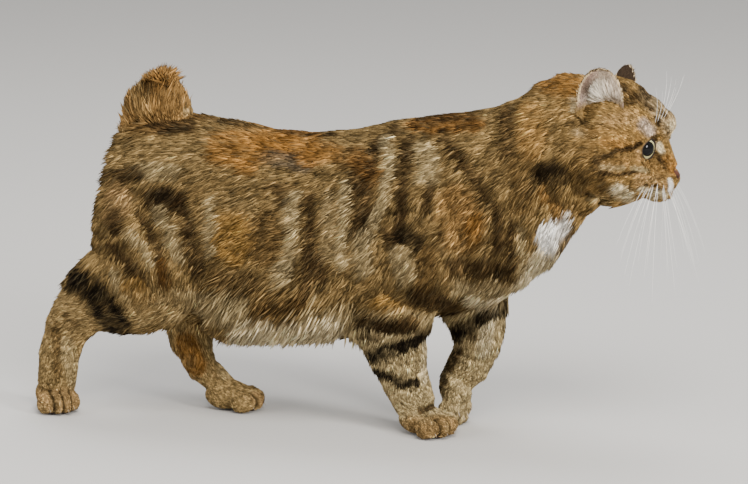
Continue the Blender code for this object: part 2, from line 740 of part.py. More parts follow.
def lock_form(root, way, out, sizes):
    """A flat lock from a sunk root: rings of four that narrow to a tip, bending as it goes."""
    length, width, pull = sizes
    side = way.cross(out).normalized()
    bend = Vector(pull) * length
    form = bmesh.new()
    rows = []
    for share, wide in LOCK_RINGS:
        place = root + way * (length * share) + bend * share * share
        ahead = (way * length + bend * 2.0 * share).normalized()
        up = side.cross(ahead).normalized()
        across = side * (width * wide / 2)
        high = up * (width * wide * LOCK_THICKNESS / 2)
        rows.append([form.verts.new(place + turn) for turn in (across, high, -across, -high)])
    tip = form.verts.new(root + way * length + bend)
    form.faces.new(rows[0])
    for low, top in zip(rows, rows[1:]):
        for j in range(4):
            form.faces.new((low[j], low[(j + 1) % 4], top[(j + 1) % 4], top[j]))
    for j in range(4):
        form.faces.new((rows[-1][j], rows[-1][(j + 1) % 4], tip))
    bmesh.ops.recalc_face_normals(form, faces=form.faces)
    bmesh.ops.triangulate(form, faces=form.faces)
    return form


def is_clear(root, way, out, sizes, trees):
    """True if the lock keeps off every other part, tested along its middle and both edges."""
    length, width, pull = sizes
    side = way.cross(out).normalized()
    bend = Vector(pull) * length
    for k in range(LOCK_SAMPLES + 1):
        share = k / LOCK_SAMPLES
        place = root + way * (length * share) + bend * share * share
        for step in (-0.5, 0.0, 0.5):
            spot = place + side * (width * step * min(1.0, LOCK_SLOPE * (1.0 - share)))
            if spot.z < LOCK_CLEARANCE:
                return False
            if any(tree.find_nearest(spot, LOCK_CLEARANCE)[0] is not None for tree in trees):
                return False
    return True


def on_line(line, share):
    """A place on a line of straight pieces, with the pieces taken as equally long."""
    step = min(int(share * (len(line) - 1)), len(line) - 2)
    within = share * (len(line) - 1) - step
    return Vector(line[step]).lerp(Vector(line[step + 1]), within)


def tree_of(part):
    form = mesh_form(part.data)
    tree = BVHTree.FromBMesh(form)
    form.free()
    return tree


def varied(value, draw):
    return value * (1.0 + LOCK_VARIETY * draw.uniform(-1.0, 1.0))


def grow_lock(seed, flow, lift, sizes, own, others, draw):
    """One lock near a seed place, shortened or left out where it would meet another part."""
    place, out = own.find_nearest(seed)[:2]
    if any(tree.find_nearest(place, LOCK_EDGE)[0] is not None for tree in others):
        return None
    flow = flow + Vector([LOCK_VARIETY * draw.uniform(-1.0, 1.0) for _ in range(3)])
    asked = flow.normalized()
    flow = (flow - out * flow.dot(out)).normalized()
    if flow.dot(asked) < LOCK_TRUE:
        return None
    rise = math.radians(varied(lift, draw))
    way = flow * math.cos(rise) + out * math.sin(rise)
    length, width, pull = sizes
    length = varied(length, draw)
    width = varied(width, draw)
    root = place - out * LOCK_SINK
    for share in LOCK_TRIES:
        tried = (length * share, width * share ** 0.5, pull)
        if is_clear(root, way, out, tried, others):
            return lock_form(root, way, out, tried)
    return None


def group_locks(part, group, place, trees, draw):
    """The locks of one group that belong to a part, on one side or both."""
    node, sides, line, count, flow, lift, length, width, fall = group
    forms = []
    if not part.name.startswith(node):
        return forms
    for side in sides:
        if part.name.endswith("left" if side < 0 else "right"):
            continue
        for k in range(count):
            seed = on_line(line, (k + 0.5 + LOCK_SCATTER * draw.uniform(-1.0, 1.0)) / count)
            seed = place @ Vector((seed.x, seed.y * side, seed.z))
            way = place.to_3x3() @ Vector((flow[0], flow[1] * side, flow[2]))
            others = [tree for name, tree in trees.items() if name != part.name]
            sizes = (length, width, (0.0, 0.0, fall))
            forms.append(grow_lock(seed, way, lift, sizes, trees[part.name], others, draw))
    return [form for form in forms if form is not None]


def brush_locks(tail, trees, draw):
    """Rings of locks round the tail's core, rising and spreading to a soft dome."""
    forms = []
    others = [tree for name, tree in trees.items() if name != "tail"]
    for ring, (height, count, spread, lift, length, width) in enumerate(BRUSH):
        for k in range(count):
            step = k + ring / 2 + BRUSH_SCATTER * draw.uniform(-1.0, 1.0)
            turn = math.tau * step / count
            way = Vector((math.cos(turn), math.sin(turn), 0.0))
            seed = Vector((*BRUSH_MIDDLE, height + BRUSH_TILT * way.x * BRUSH_REACH))
            seed += way * BRUSH_REACH
            flow = Vector((0.0, 0.0, 1.0)) + way * spread
            sizes = (length, width, way * BRUSH_CURL)
            forms.append(grow_lock(seed, flow, lift, sizes, trees["tail"], others, draw))
    return [form for form in forms if form is not None]


def fuse_locks(part, forms):
    """All of a part's locks made one body with it."""
    group = bpy.data.collections.new(part.name + "_locks")
    bpy.context.scene.collection.children.link(group)
    for k, form in enumerate(forms):
        mesh = bpy.data.meshes.new(f"{part.name}_lock_{k}")
        form.to_mesh(mesh)
        form.free()
        add_object(mesh.name, mesh, group)
    union = part.modifiers.new("Locks", "BOOLEAN")
    union.operation = "UNION"
    union.operand_type = "COLLECTION"
    union.collection = group
    union.solver = "EXACT"
    apply_modifiers(part)
    keep_largest(part.data)
    for thing in list(group.objects):
        bpy.data.objects.remove(thing)
    bpy.data.collections.remove(group)


def add_locks(parts):
    """Locks on every part that carries them, each clear of the parts and locks made before it."""
    draw = random.Random(LOCK_SEED)
    trees = {part.name: tree_of(part) for part in parts.objects}
    for part in parts.objects:
        forms = brush_locks(part, trees, draw) if part.name == "tail" else []
        for group in LOCKS:
            forms += group_locks(part, group, Matrix(), trees, draw)
        for group in HEAD_LOCKS:
            forms += group_locks(part, group, head_frame(), trees, draw)
        if forms:
            fuse_locks(part, forms)
            trees[part.name] = tree_of(part)


def main():
    clear_scene()
    parts = bpy.data.collections.new("manx_cat")
    cutters = bpy.data.collections.new("cutters")
    bpy.context.scene.collection.children.link(parts)
    bpy.context.scene.collection.children.link(cutters)
    groups = (parts, cutters)
    forms = trunk_forms() + [tube(TAIL)] + head_forms()
    forms += [tube(leg) for leg in LEGS.values()]
    for paw in PAWS.values():
        forms += paw_forms(*paw)
    body = fused("torso", forms, BODY_VOXEL, BODY_SMOOTHING, BODY_TRIANGLES, parts)
    boolean(body, cutter_object("paws_gap", block(*PAW_CUT, GAP), cutters), "DIFFERENCE", False)
    boolean(body, cutter_object("head_gap", block(*HEAD_CUT, GAP), cutters), "DIFFERENCE", False)
    for name, shape in CUTS.items():
        part_off(body, name, shape, groups)
    keep_largest(body.data)
    head = build_head(groups)
    build_ear("ear_left", EAR_LEFT, head, groups)
    build_ear("ear_right", EAR_RIGHT, head, groups)
    for name in PAWS:
        build_paw(name, groups)
    add_locks(parts)
    for part in parts.objects:
        part.data.transform(Matrix.Translation((MIDDLE_X, 0.0, 0.0)))
        colour, roughness = FINISHES[part.name.split("_")[0]]
        part.data.materials.clear()
        part.data.materials.append(material(part.name, colour, roughness))


main()
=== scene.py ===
"""The looks of a walking manx cat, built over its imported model.

Metres, +Z up, the cat faces +X and its left is +Y. Forms are worked out about the design's own
middle and moved by MIDDLE_X when a piece is made. One skin lies inside the coat. The coat is
closed tufts of mesh that follow the lie of the hair.
"""

import math

import bpy
import numpy as np
from mathutils import Matrix, Vector


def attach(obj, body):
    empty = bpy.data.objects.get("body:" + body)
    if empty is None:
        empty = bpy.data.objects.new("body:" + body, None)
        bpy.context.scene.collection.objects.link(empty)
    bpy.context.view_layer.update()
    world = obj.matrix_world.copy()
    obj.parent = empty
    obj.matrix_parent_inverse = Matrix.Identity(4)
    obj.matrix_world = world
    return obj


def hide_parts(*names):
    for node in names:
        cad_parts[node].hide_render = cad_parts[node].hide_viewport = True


MIDDLE_X = 0.0200
TO_FRAME = np.array((MIDDLE_X, 0.0, 0.0))
SEED = 11
TINY = 1e-12

# Smooth noise: tables, cells along each side of a table, and a shift off the middle plane
NOISE_TABLES = 4
NOISE_CELLS = 32
NOISE_SHIFT = 17.3

# Camera, found from the picture's own sizes
PICTURE_WIDTH = 748
PICTURE_MIDDLE = (374.0, 242.0)
FOCAL_PIXELS = 3276.0
CAMERA_AZIMUTH = math.radians(18)
CAMERA_RISE = math.radians(11)
CAMERA_DISTANCE = 2.60
CAMERA_TARGET = (0.0, -0.005, 0.15)
SENSOR_WIDTH = 36.0

# Trunk sections from rump to nape: top (x, z), bottom (x, z), half width
TRUNK = (
    ((-0.209, 0.222), (-0.216, 0.160), 0.034),
    ((-0.201, 0.235), (-0.218, 0.128), 0.052),
    ((-0.180, 0.242), (-0.204, 0.102), 0.063),
    ((-0.150, 0.245), (-0.160, 0.086), 0.069),
    ((-0.115, 0.241), (-0.120, 0.080), 0.072),
    ((-0.085, 0.236), (-0.088, 0.081), 0.074),
    ((-0.050, 0.236), (-0.050, 0.084), 0.075),
    ((-0.015, 0.241), (-0.010, 0.088), 0.073),
    ((0.020, 0.250), (0.030, 0.093), 0.070),
    ((0.050, 0.255), (0.070, 0.099), 0.066),
    ((0.078, 0.260), (0.104, 0.110), 0.062),
    ((0.102, 0.266), (0.128, 0.126), 0.058),
    ((0.122, 0.276), (0.148, 0.146), 0.053),
    ((0.138, 0.288), (0.162, 0.168), 0.047),
    ((0.156, 0.293), (0.173, 0.182), 0.042),
    ((0.172, 0.291), (0.184, 0.190), 0.038),
    ((0.190, 0.284), (0.196, 0.200), 0.032),
)
TRUNK_FULLNESS = 2.25
TRUNK_SIDES = 32
TRUNK_DEPTH = 0.0048
SWELL_DEPTH = TRUNK_DEPTH * 0.8
NECK_SECTIONS = -6

# Legs, each a path of (x, y, z, half width across, half width along)
LEGS = {
    "near_hind": (
        (-0.150, -0.042, 0.140, 0.026, 0.040),
        (-0.176, -0.046, 0.119, 0.025, 0.045),
        (-0.206, -0.045, 0.106, 0.023, 0.038),
        (-0.234, -0.040, 0.090, 0.019, 0.025),
        (-0.250, -0.038, 0.072, 0.017, 0.021),
        (-0.259, -0.037, 0.048, 0.016, 0.019),
        (-0.262, -0.037, 0.022, 0.016, 0.018),
    ),
    "far_hind": (
        (-0.135, 0.040, 0.140, 0.026, 0.040),
        (-0.130, 0.042, 0.112, 0.024, 0.036),
        (-0.150, 0.036, 0.094, 0.020, 0.030),
        (-0.174, 0.026, 0.077, 0.017, 0.024),
        (-0.166, 0.020, 0.053, 0.015, 0.020),
        (-0.155, 0.016, 0.032, 0.014, 0.015),
        (-0.134, 0.013, 0.017, 0.015, 0.012),
    ),
    "near_fore": (
        (0.040, -0.034, 0.150, 0.026, 0.042),
        (0.026, -0.032, 0.108, 0.023, 0.034),
        (0.022, -0.027, 0.082, 0.021, 0.029),
        (0.026, -0.022, 0.060, 0.019, 0.025),
        (0.031, -0.019, 0.042, 0.018, 0.021),
        (0.038, -0.017, 0.024, 0.018, 0.019),
    ),
    "far_fore": (
        (0.070, 0.034, 0.150, 0.026, 0.040),
        (0.071, 0.032, 0.108, 0.021, 0.029),
        (0.075, 0.029, 0.084, 0.018, 0.025),
        (0.077, 0.027, 0.066, 0.017, 0.021),
        (0.070, 0.025, 0.048, 0.016, 0.019),
        (0.060, 0.023, 0.034, 0.015, 0.016),
    ),
}
# A leg's own markings and lie fade in between these heights
LEG_FADE = {
    "near_hind": (0.085, 0.118),
    "far_hind": (0.075, 0.100),
    "near_fore": (0.082, 0.108),
    "far_fore": (0.082, 0.108),
}
LEG_DEPTH = 0.0027
LEAST_HALF_WIDTH = 0.002
# Paws: place of the sole's middle, heading, bend about the side axis, spread of the toes
PAWS = {
    "near_hind": ((-0.2632, -0.038, 0.0), math.radians(-48), 0.0, 0.84),
    "far_hind": ((-0.124, 0.012, 0.0), math.radians(4), 0.0, 1.0),
    "near_fore": ((0.050, -0.020, 0.0), math.radians(-22), 0.0, 1.05),
    "far_fore": ((0.050, 0.022, 0.020), math.radians(-8), math.radians(80), 0.95),
}
# Toes: step to the side, in toe steps, and reach in front of the sole's middle
TOES = ((-1.4, 0.0085), (-0.48, 0.0135), (0.48, 0.0135), (1.4, 0.0085))
TOE_STEP = 0.0088
TOE_HEIGHT = 0.0088
TOE_RADII = (0.0110, 0.0084, 0.0100)
KNUCKLE_BACK = 0.010
KNUCKLE_INWARD = 0.78
KNUCKLE_HEIGHT = 0.0128
KNUCKLE_RADII = (0.012, 0.0074, 0.0085)
PALM_BALLS = (
    ((-0.008, 0.0, 0.0125), (0.019, 0.0165, 0.0135)),
    ((0.004, 0.0, 0.009), (0.016, 0.0150, 0.010)),
)
PAW_DEPTH = 0.0013
LEG_OVERLAP = 0.0020
PALM_STOP = (-0.006, 0.0, 0.012)
PALM_HALF = 0.0125
CLEFT_DEPTH = 0.0009
CLEFT_WIDTH = 0.0010
CLEFT_BACK = (0.001, 0.009)
CLEFT_TOP = (0.024, 0.018)
CLEFT_REACH = 0.036
CLEFT_FOOT = -0.004
CLEFT_DROP = 0.8
CLEFT_DROP_RISE = (0.006, 0.014)
PAW_HEIGHT = 0.036
SOLE_REACH = 0.032
SOLE_BARE = 0.0022
SOLE_FADE = (0.0035, 0.0015)
FLOOR_GAP = 0.0004

# Fuller forms on the trunk: centre and radii. Thigh and shoulder are on both sides
THIGH = ((-0.184, 0.036, 0.143), (0.040, 0.034, 0.072))
SHOULDER = ((0.052, 0.038, 0.168), (0.052, 0.034, 0.062))
CHEST = ((0.098, 0.0, 0.159), (0.042, 0.038, 0.042))
HAUNCH = ((-0.208, -0.040, 0.116), (0.023, 0.023, 0.025))
TAIL = (
    (-0.176, 0.0, 0.205, 0.028, 0.041),
    (-0.180, 0.0, 0.226, 0.026, 0.039),
    (-0.180, 0.0, 0.243, 0.024, 0.034),
    (-0.177, 0.0, 0.256, 0.019, 0.026),
    (-0.173, 0.0, 0.266, 0.012, 0.015),
)
TAIL_DEPTH = 0.008

# Head, in its own frame: x to the nose, y to its left, z up. Balls are centre, radii, coat depth
HEAD_CENTRE = (0.193, 0.002, 0.250)
HEAD_YAW = math.radians(7)
HEAD_BALLS = (
    ((-0.002, 0.0, 0.001), (0.041, 0.039, 0.041), 0.0040),
    ((0.018, 0.0, -0.002), (0.027, 0.030, 0.030), 0.0020),
    ((0.010, 0.0, -0.040), (0.030, 0.026, 0.019), 0.0040),
    ((0.027, 0.0, -0.031), (0.021, 0.021, 0.019), 0.0010),
    ((0.034, 0.0, -0.0485), (0.0115, 0.010, 0.0075), 0.0008),
)
HEAD_PAIRS = (
    ((0.0325, 0.0085, 0.0030), (0.0145, 0.0115, 0.0125), 0.0012),
    ((-0.002, 0.023, -0.022), (0.032, 0.024, 0.029), 0.0050),
    ((0.016, 0.019, -0.026), (0.024, 0.019, 0.022), 0.0025),
    ((0.0385, 0.0085, -0.0385), (0.0125, 0.0115, 0.0095), 0.0008),
)
BRIDGE_DEPTH = 0.0005
NOSE_BRIDGE = (
    (0.0280, 0.0, -0.002, 0.0130, 0.0130),
    (0.0330, 0.0, -0.012, 0.0095, 0.0095),
    (0.0385, 0.0, -0.022, 0.0085, 0.0085),
    (0.0430, 0.0, -0.031, 0.0072, 0.0072),
)
EYE_CENTRE = (0.0225, 0.0175, -0.0115)
EYE_RADIUS = 0.0105
EYE_TURN = math.radians(30)
EYE_RISE = math.radians(-9)
LID_WIDE = math.radians(47)
LID_HIGH = math.radians(46)
LID_TILT = math.radians(14)
LID_THICKNESS = 0.0009
LID_BACK = -0.2
# Lids' ring, from the rim outwards: share of the almond, and height over the eyeball
LID_SPREAD = (0.99, 0.97, 1.00, 1.06, 1.14, 1.26, 1.22, 1.08)
LID_RISE = (-0.0006, 0.0001, 0.0009, 0.0013, 0.0010, -0.0004, -0.0016, -0.0014)
LID_SIDES = 72
LID_NARROWING = 0.18
# Sockets: shares of the almond's size, then shares of the eye's radius
SOCKET_RIM = 1.05
SOCKET_SLOPE = (1.06, 2.2)
SOCKET_INNER_FADE = (2.2, 1.4)
SOCKET_DEPTH = 0.80
SOCKET_OUTER_FADE = (2.6, 1.7)
GAZE_TURN = math.radians(20)
GAZE_RISE = math.radians(9)
PUPIL_ANGLE = 0.56
IRIS_ANGLE = 1.12
CORNEA_BULGE = 0.0011
CORNEA_ANGLE = 0.62
EYE_ROWS = 110
EYE_SIDES = 72
EYE_POLE_GAP = 0.004
IRIS_INNER = (0.60, 0.56, 0.28)
IRIS_OUTER = (0.52, 0.47, 0.25)
PUPIL_COLOUR = (0.004, 0.004, 0.004)
EYE_RIM_COLOUR = (0.020, 0.014, 0.010)
LID_COLOUR = (0.018, 0.012, 0.010)
NOSE_CENTRE = (0.0440, 0.0, -0.0358)
NOSE_RADII = (0.0074, 0.0068, 0.0048)
NOSE_ROWS = 56
NOSE_SIDES = 64
NOSE_POLE_GAP = 0.03
NOSE_COLOUR = (0.085, 0.030, 0.016)
NOSTRIL = (0.0488, 0.0038, -0.0368)
NOSTRIL_STRETCH = (1.6, 1.0, 0.85)
NOSTRIL_SIZE = 0.0019
NOSTRIL_DEPTH = 0.0022
GROOVE_SIZE = 0.0006
GROOVE_DEPTH = 0.0005
GROOVE_HEIGHTS = (-0.034, -0.039)
MOUTH_LINE = (
    (0.0500, 0.0, -0.0385),
    (0.0480, 0.0005, -0.0435),
    (0.0440, 0.0060, -0.0468),
    (0.0370, 0.0120, -0.0478),
    (0.0290, 0.0165, -0.0458),
    (0.0200, 0.0195, -0.0420),
)
MOUTH_PUSH = -0.0013
MOUTH_WIDTH = 0.0010
LIP_PUSH = 0.0005
LIP_GAP = 0.0026
LIP_WIDTH = 0.0012
LIP_COLOUR = (0.055, 0.028, 0.024)
LIP_COLOUR_WIDTH = 0.0012

# Ears: middle of the base, way to the tip, way the cup opens, in the head's frame
EARS = {
    "right": ((-0.0072, -0.032, 0.0160), (0.0, -0.25, 1.0), (0.15, -1.0, 0.0)),
    "left": ((0.0005, 0.030, 0.0080), (0.08, 0.36, 1.0), (0.90, 0.75, 0.1)),
}
EAR_HEIGHT = 0.036
EAR_HALF_WIDTH = 0.0178
EAR_FULLNESS = 2.6
EAR_DEPTH = 0.012
EAR_WALL = 0.0015
EAR_ARC = math.radians(72)
EAR_ROOT = -0.25
EAR_ROWS = 30
EAR_COLUMNS = 32
EAR_COLOURS = {
    "back skin": (0.080, 0.052, 0.034),
    "inner skin": (0.420, 0.290, 0.235),
    "dark": (0.050, 0.033, 0.021),
    "tan": (0.330, 0.215, 0.165),
    "light": (0.430, 0.340, 0.255),
    "pale": (0.900, 0.830, 0.700),
    "rim": (0.620, 0.480, 0.280),
}
# Soft spots of the inner hair's colour: place forward and up, and size both ways, in ear sizes
# The hollow's spot is painted shade deep in the cup; the bright spot is pale hair
EAR_HOLLOW_SHADE = (-0.60, 0.45, 0.32, 0.30)
EAR_BRIGHT = (-0.05, 0.18, 0.60, 0.34)
EAR_HAIR_FOOT = -0.22
EAR_HAIR_WIDTH = 0.0005
EAR_BACK_HAIR = 0.0045
EAR_INNER_HAIR = (0.004, 0.012)
EAR_BACK_LIFT = 12
EAR_INNER_LIFT = (16, 18)
EAR_LEAN = 0.9
EAR_CLUMP = 0.4

# Remeshing of the skin's parts: size of a voxel, and rounds of smoothing
BODY_VOXEL = 0.0029
HEAD_VOXEL = 0.00125
PAW_VOXEL = 0.0013
BODY_SMOOTHING = 12
HEAD_SMOOTHING = 17
PAW_SMOOTHING = 8

# Whiskers and claws: counts, lengths, and radii at root and tip
WHISKER_ROWS = 3
WHISKERS_IN_ROW = 5
BROW_WHISKERS = 4
WHISKER_STATIONS = 14
WHISKER_LENGTHS = (0.055, 0.078)
BROW_LENGTHS = (0.030, 0.042)
WHISKER_RADIUS = 0.00010
WHISKER_TIP = 0.00003
CLAW_STATIONS = 8
CLAW_SIDES = 8
CLAW_RADIUS = 0.0008
CLAW_TIP = 0.00006
# A claw: its place before the toe, length, height over the sole, rise, and curl down at the tip
CLAW_OF_BENT_PAW = (0.0005, 0.0050, 0.0165, 0.0014, 0.0)
CLAW_OF_FLAT_PAW = (0.0045, 0.0062, 0.0088, 0.0006, 0.0062)

# Stage: each light's place, what it looks at, its size, power and colour
FLOOR_HALF = 12.0
FLOOR_COLOUR = (0.54, 0.53, 0.515)
WORLD_COLOUR = (0.84, 0.83, 0.81)
WORLD_STRENGTH = 0.84
LIGHTS = {
    "key": ((0.9, -1.9, 2.4), (0.0, 0.0, 0.15), 1.6, 96.0, (1.0, 0.965, 0.90)),
    "fill": ((-2.0, -1.6, 1.1), (0.0, 0.0, 0.15), 2.0, 34.0, (0.98, 0.98, 1.0)),
    "front": ((2.05, -1.15, 0.85), (0.1, 0.0, 0.15), 0.7, 66.0, (1.0, 0.97, 0.93)),
    "top": ((-0.3, 0.8, 2.4), (0.0, 0.0, 0.2), 1.6, 36.0, (1.0, 1.0, 1.0)),
}

# Regions: an oval for head and paw, how far each blends, and what hides the trunk's share
HEAD_REGION = ((0.0, 0.0, -0.008), (0.052, 0.046, 0.054))
PAW_REGION = ((0.0, 0.0, 0.010), (0.028, 0.020, 0.014))
BLEND = 0.005
HEAD_BLEND = 0.010
HEAD_COVER = (0.002, -0.014)
HEAD_OVER_TRUNK = 0.85
LIMB_OVER_TRUNK = 0.9
TAIL_FADE = (0.222, 0.240)

# Colours of the coat, linear
COLOURS = {
    "ground": (0.168, 0.110, 0.043),
    "beige": (0.265, 0.180, 0.075),
    "buff": (0.320, 0.200, 0.085),
    "pale": (0.335, 0.256, 0.130),
    "cream": (0.620, 0.520, 0.330),
    "white": (0.950, 0.930, 0.880),
    "gold": (0.265, 0.150, 0.040),
    "amber": (0.330, 0.190, 0.060),
    "orange": (0.200, 0.093, 0.021),
    "rust": (0.105, 0.050, 0.013),
    "umber": (0.185, 0.105, 0.035),
    "brown": (0.090, 0.052, 0.018),
    "slate": (0.062, 0.046, 0.029),
    "dark": (0.030, 0.017, 0.007),
    "black": (0.010, 0.007, 0.004),
    "grey": (0.205, 0.160, 0.098),
    "lilac": (0.560, 0.480, 0.430),
    "fawn": (0.235, 0.143, 0.048),
    "pad": (0.050, 0.032, 0.028),
}

# Markings as soft strokes: name, then colour, half width, strength, and places in the picture
TRUNK_MARKS = {
    "rump ticking": ("beige", 22, 0.35, ((130, 160), (185, 165))),
    "rump pale": ("pale", 9, 0.7, ((142, 173), (171, 173))),
    "rump rear": ("dark", 8, 0.8, ((108, 178), (134, 176))),
    "loin": ("orange", 19, 0.8, ((222, 148), (262, 146), (300, 140))),
    "loin bright": ("orange", 9, 0.9, ((250, 145), (290, 142))),
    "loin low": ("orange", 9, 0.8, ((240, 165), (244, 168))),
    "slate saddle": ("slate", 10, 0.9, ((272, 160), (302, 162))),
    "saddle orange": ("orange", 11, 0.8, ((306, 154), (330, 154))),
    "saddle brown": ("brown", 8, 0.7, ((335, 160), (350, 165))),
    "band under tail": ("dark", 7, 0.8, ((152, 127), (190, 127))),
    "band core": ("black", 4, 0.6, ((164, 128), (186, 127))),
    "spine": ("dark", 4, 0.8, ((200, 116), (250, 123), (290, 131), (330, 131))),
    "rump buff": ("buff", 12, 0.7, ((115, 196), (115, 212))),
    "hip patch": ("dark", 14, 0.85, ((155, 200), (172, 202))),
    "hip core": ("black", 6, 0.8, ((160, 197), (170, 197))),
    "thigh stripe 1": ("dark", 6, 0.85, ((178, 200), (186, 225), (190, 250), (198, 275))),
    "thigh pale": ("pale", 6, 0.75, ((157, 212), (170, 240), (178, 262))),
    "thigh stripe 2": ("dark", 5, 0.85, ((135, 215), (150, 235), (157, 262), (163, 285))),
    "thigh rust": ("rust", 6, 0.7, ((158, 268), (167, 287))),
    "thigh thin pale": ("pale", 3.5, 0.75, ((125, 235), (140, 250), (150, 268))),
    "thigh stripe 3": ("dark", 7, 0.85, ((112, 250), (130, 270), (145, 295))),
    "thigh spot": ("dark", 7, 0.8, ((114, 220), (114, 232))),
    "thigh gold": ("gold", 11, 0.6, ((130, 292), (145, 305))),
    "thigh edge": ("pale", 4, 0.75, ((110, 275), (118, 292), (128, 308), (142, 322))),
    "hock patch": ("black", 13, 1.0, ((74, 280), (92, 292), (106, 313), (120, 332))),
    "flank gold": ("gold", 19, 0.85, ((228, 230), (234, 248))),
    "flank beige": ("beige", 9, 0.6, ((233, 205), (247, 212))),
    "pale a": ("pale", 5, 0.8, ((207, 200), (208, 255))),
    "brown b": ("brown", 13, 0.75, ((264, 222), (262, 258))),
    "dark b": ("dark", 9, 0.75, ((272, 190), (286, 198))),
    "pale c": ("pale", 8, 0.85, ((290, 200), (288, 255), (276, 284))),
    "dark d": ("dark", 6, 0.8, ((306, 198), (308, 250), (302, 280), (298, 310))),
    "pale e": ("pale", 6, 0.4, ((325, 198), (325, 258))),
    "dark f": ("dark", 9, 0.85, ((314, 262), (318, 280))),
    "pale f": ("pale", 6, 0.8, ((342, 188), (338, 268))),
    "dark g": ("dark", 11, 0.9, ((360, 168), (360, 240))),
    "rust g": ("rust", 12, 0.75, ((356, 158), (374, 178))),
    "pale h": ("pale", 10, 0.7, ((361, 242), (360, 272))),
    "belly blotch": ("dark", 15, 0.6, ((222, 284), (240, 290))),
    "belly band": ("brown", 8, 0.85, ((255, 310), (295, 309))),
    "belly pale": ("pale", 14, 0.95, ((165, 310), (200, 308), (232, 312))),
    "belly streaks": ("pale", 8, 0.65, ((308, 318), (348, 318))),
    "fringe": ("cream", 13, 0.75, ((242, 335), (290, 337), (335, 334))),
    "withers": ("rust", 11, 0.95, ((415, 123), (470, 123))),
    "withers dark": ("dark", 6, 0.6, ((420, 116), (468, 114))),
    "dark i": ("dark", 5, 0.85, ((395, 128), (375, 145), (368, 170))),
    "pale i": ("pale", 6, 0.8, ((385, 140), (384, 192), (372, 228))),
    "dark j": ("dark", 7, 0.88, ((405, 140), (400, 170), (402, 200), (398, 235))),
    "pale j": ("pale", 11, 0.8, ((422, 152), (424, 178))),
    "dark k": ("dark", 6, 0.8, ((426, 188), (425, 210))),
    "umber oval": ("umber", 21, 0.9, ((455, 207), (462, 236))),
    "orange core": ("orange", 9, 0.75, ((472, 225), (470, 238))),
    "dark l": ("dark", 6, 0.85, ((440, 135), (460, 165), (480, 190), (492, 215), (498, 250))),
    "dark m": ("dark", 8, 0.85, ((505, 112), (505, 155))),
    "neck brown": ("brown", 13, 0.6, ((518, 172), (520, 205))),
    "neck gold": ("amber", 14, 0.85, ((528, 115), (530, 148))),
    "nape orange": ("orange", 12, 0.8, ((550, 82), (575, 88))),
    "neck patch": ("black", 12, 1.0, ((540, 176), (562, 176))),
    "neck streak": ("orange", 6, 0.65, ((540, 195), (560, 222))),
    "neck streak dark": ("dark", 4, 0.75, ((552, 192), (570, 222))),
    "bib": ("white", 9, 1.0, ((545, 236), (564, 229), (548, 249))),
    "bib edge": ("dark", 2.5, 0.9, ((575, 228), (556, 252))),
    "chest streaks": ("cream", 8, 0.9, ((538, 262), (526, 284))),
    "chest front": ("cream", 7, 0.6, ((552, 262), (534, 278), (514, 292))),
    "chest line": ("dark", 4, 0.85, ((508, 226), (512, 268))),
    "chest pale": ("pale", 5, 0.75, ((520, 232), (522, 272))),
    "low shoulder": ("dark", 8, 0.85, ((450, 270), (478, 270), (505, 276))),
    "elbow dark": ("dark", 9, 0.9, ((415, 298), (435, 302), (452, 310))),
    "low pale": ("pale", 9, 0.9, ((458, 290), (485, 294), (510, 296))),
    "low cream": ("cream", 6, 0.7, ((470, 302), (490, 308), (506, 300))),
    "ribs black": ("black", 9, 0.85, ((404, 236), (415, 243))),
    "ribs dark": ("dark", 8, 0.8, ((384, 236), (390, 243))),
    "brown n": ("brown", 10, 0.75, ((425, 255), (424, 288))),
    "pale n": ("pale", 11, 0.7, ((398, 257), (404, 276))),
    "elbow gold": ("gold", 9, 0.75, ((378, 308), (392, 312))),
}
LEG_MARKS = {
    "near_hind": {
        "hock patch": ("black", 13, 1.0, ((74, 280), (92, 292), (106, 313), (120, 332))),
        "shin dark": ("dark", 5, 0.8, ((66, 318), (72, 326))),
        "metatarsus": ("pale", 8, 0.6, ((66, 345), (74, 382))),
        "rear edge": ("brown", 4, 0.7, ((55, 325), (57, 380))),
        "toes": ("buff", 11, 0.7, ((44, 400), (70, 400))),
    },
    "far_hind": {
        "shin orange": ("orange", 11, 0.85, ((186, 345), (196, 366))),
        "shin": ("pale", 9, 0.5, ((215, 345), (228, 370))),
        "front toe": ("buff", 7, 0.7, ((258, 398), (266, 402))),
    },
    "near_fore": {
        "band 0": ("dark", 7, 1.0, ((360, 324), (388, 330), (412, 326))),
        "band 1": ("dark", 4.0, 0.8, ((362, 338), (378, 341))),
        "band 2": ("black", 8.0, 1.0, ((370, 358), (394, 353), (412, 345), (430, 336))),
        "band 3": ("black", 4.6, 1.0, ((376, 374), (394, 381), (404, 386), (416, 384))),
        "band 4": ("dark", 3.0, 0.95, ((421, 411), (434, 406))),
        "toes": ("umber", 12, 0.45, ((422, 426), (455, 430))),
        "front edge": ("cream", 4, 0.45, ((426, 347), (424, 381))),
        "paw": ("umber", 12, 0.6, ((410, 428), (450, 428))),
        "paw rear": ("dark", 3, 0.6, ((401, 428), (408, 440))),
    },
    "far_fore": {
        "front": ("cream", 8, 0.6, ((488, 330), (484, 352))),
        "long pale": ("cream", 9, 0.8, ((470, 298), (490, 315))),
        "diagonal": ("black", 8, 1.0, ((500, 310), (470, 326), (445, 340))),
        "spot": ("dark", 4, 0.8, ((471, 338), (477, 338))),
        "rear edge": ("dark", 5, 0.9, ((458, 354), (446, 370), (438, 388))),
    },
}
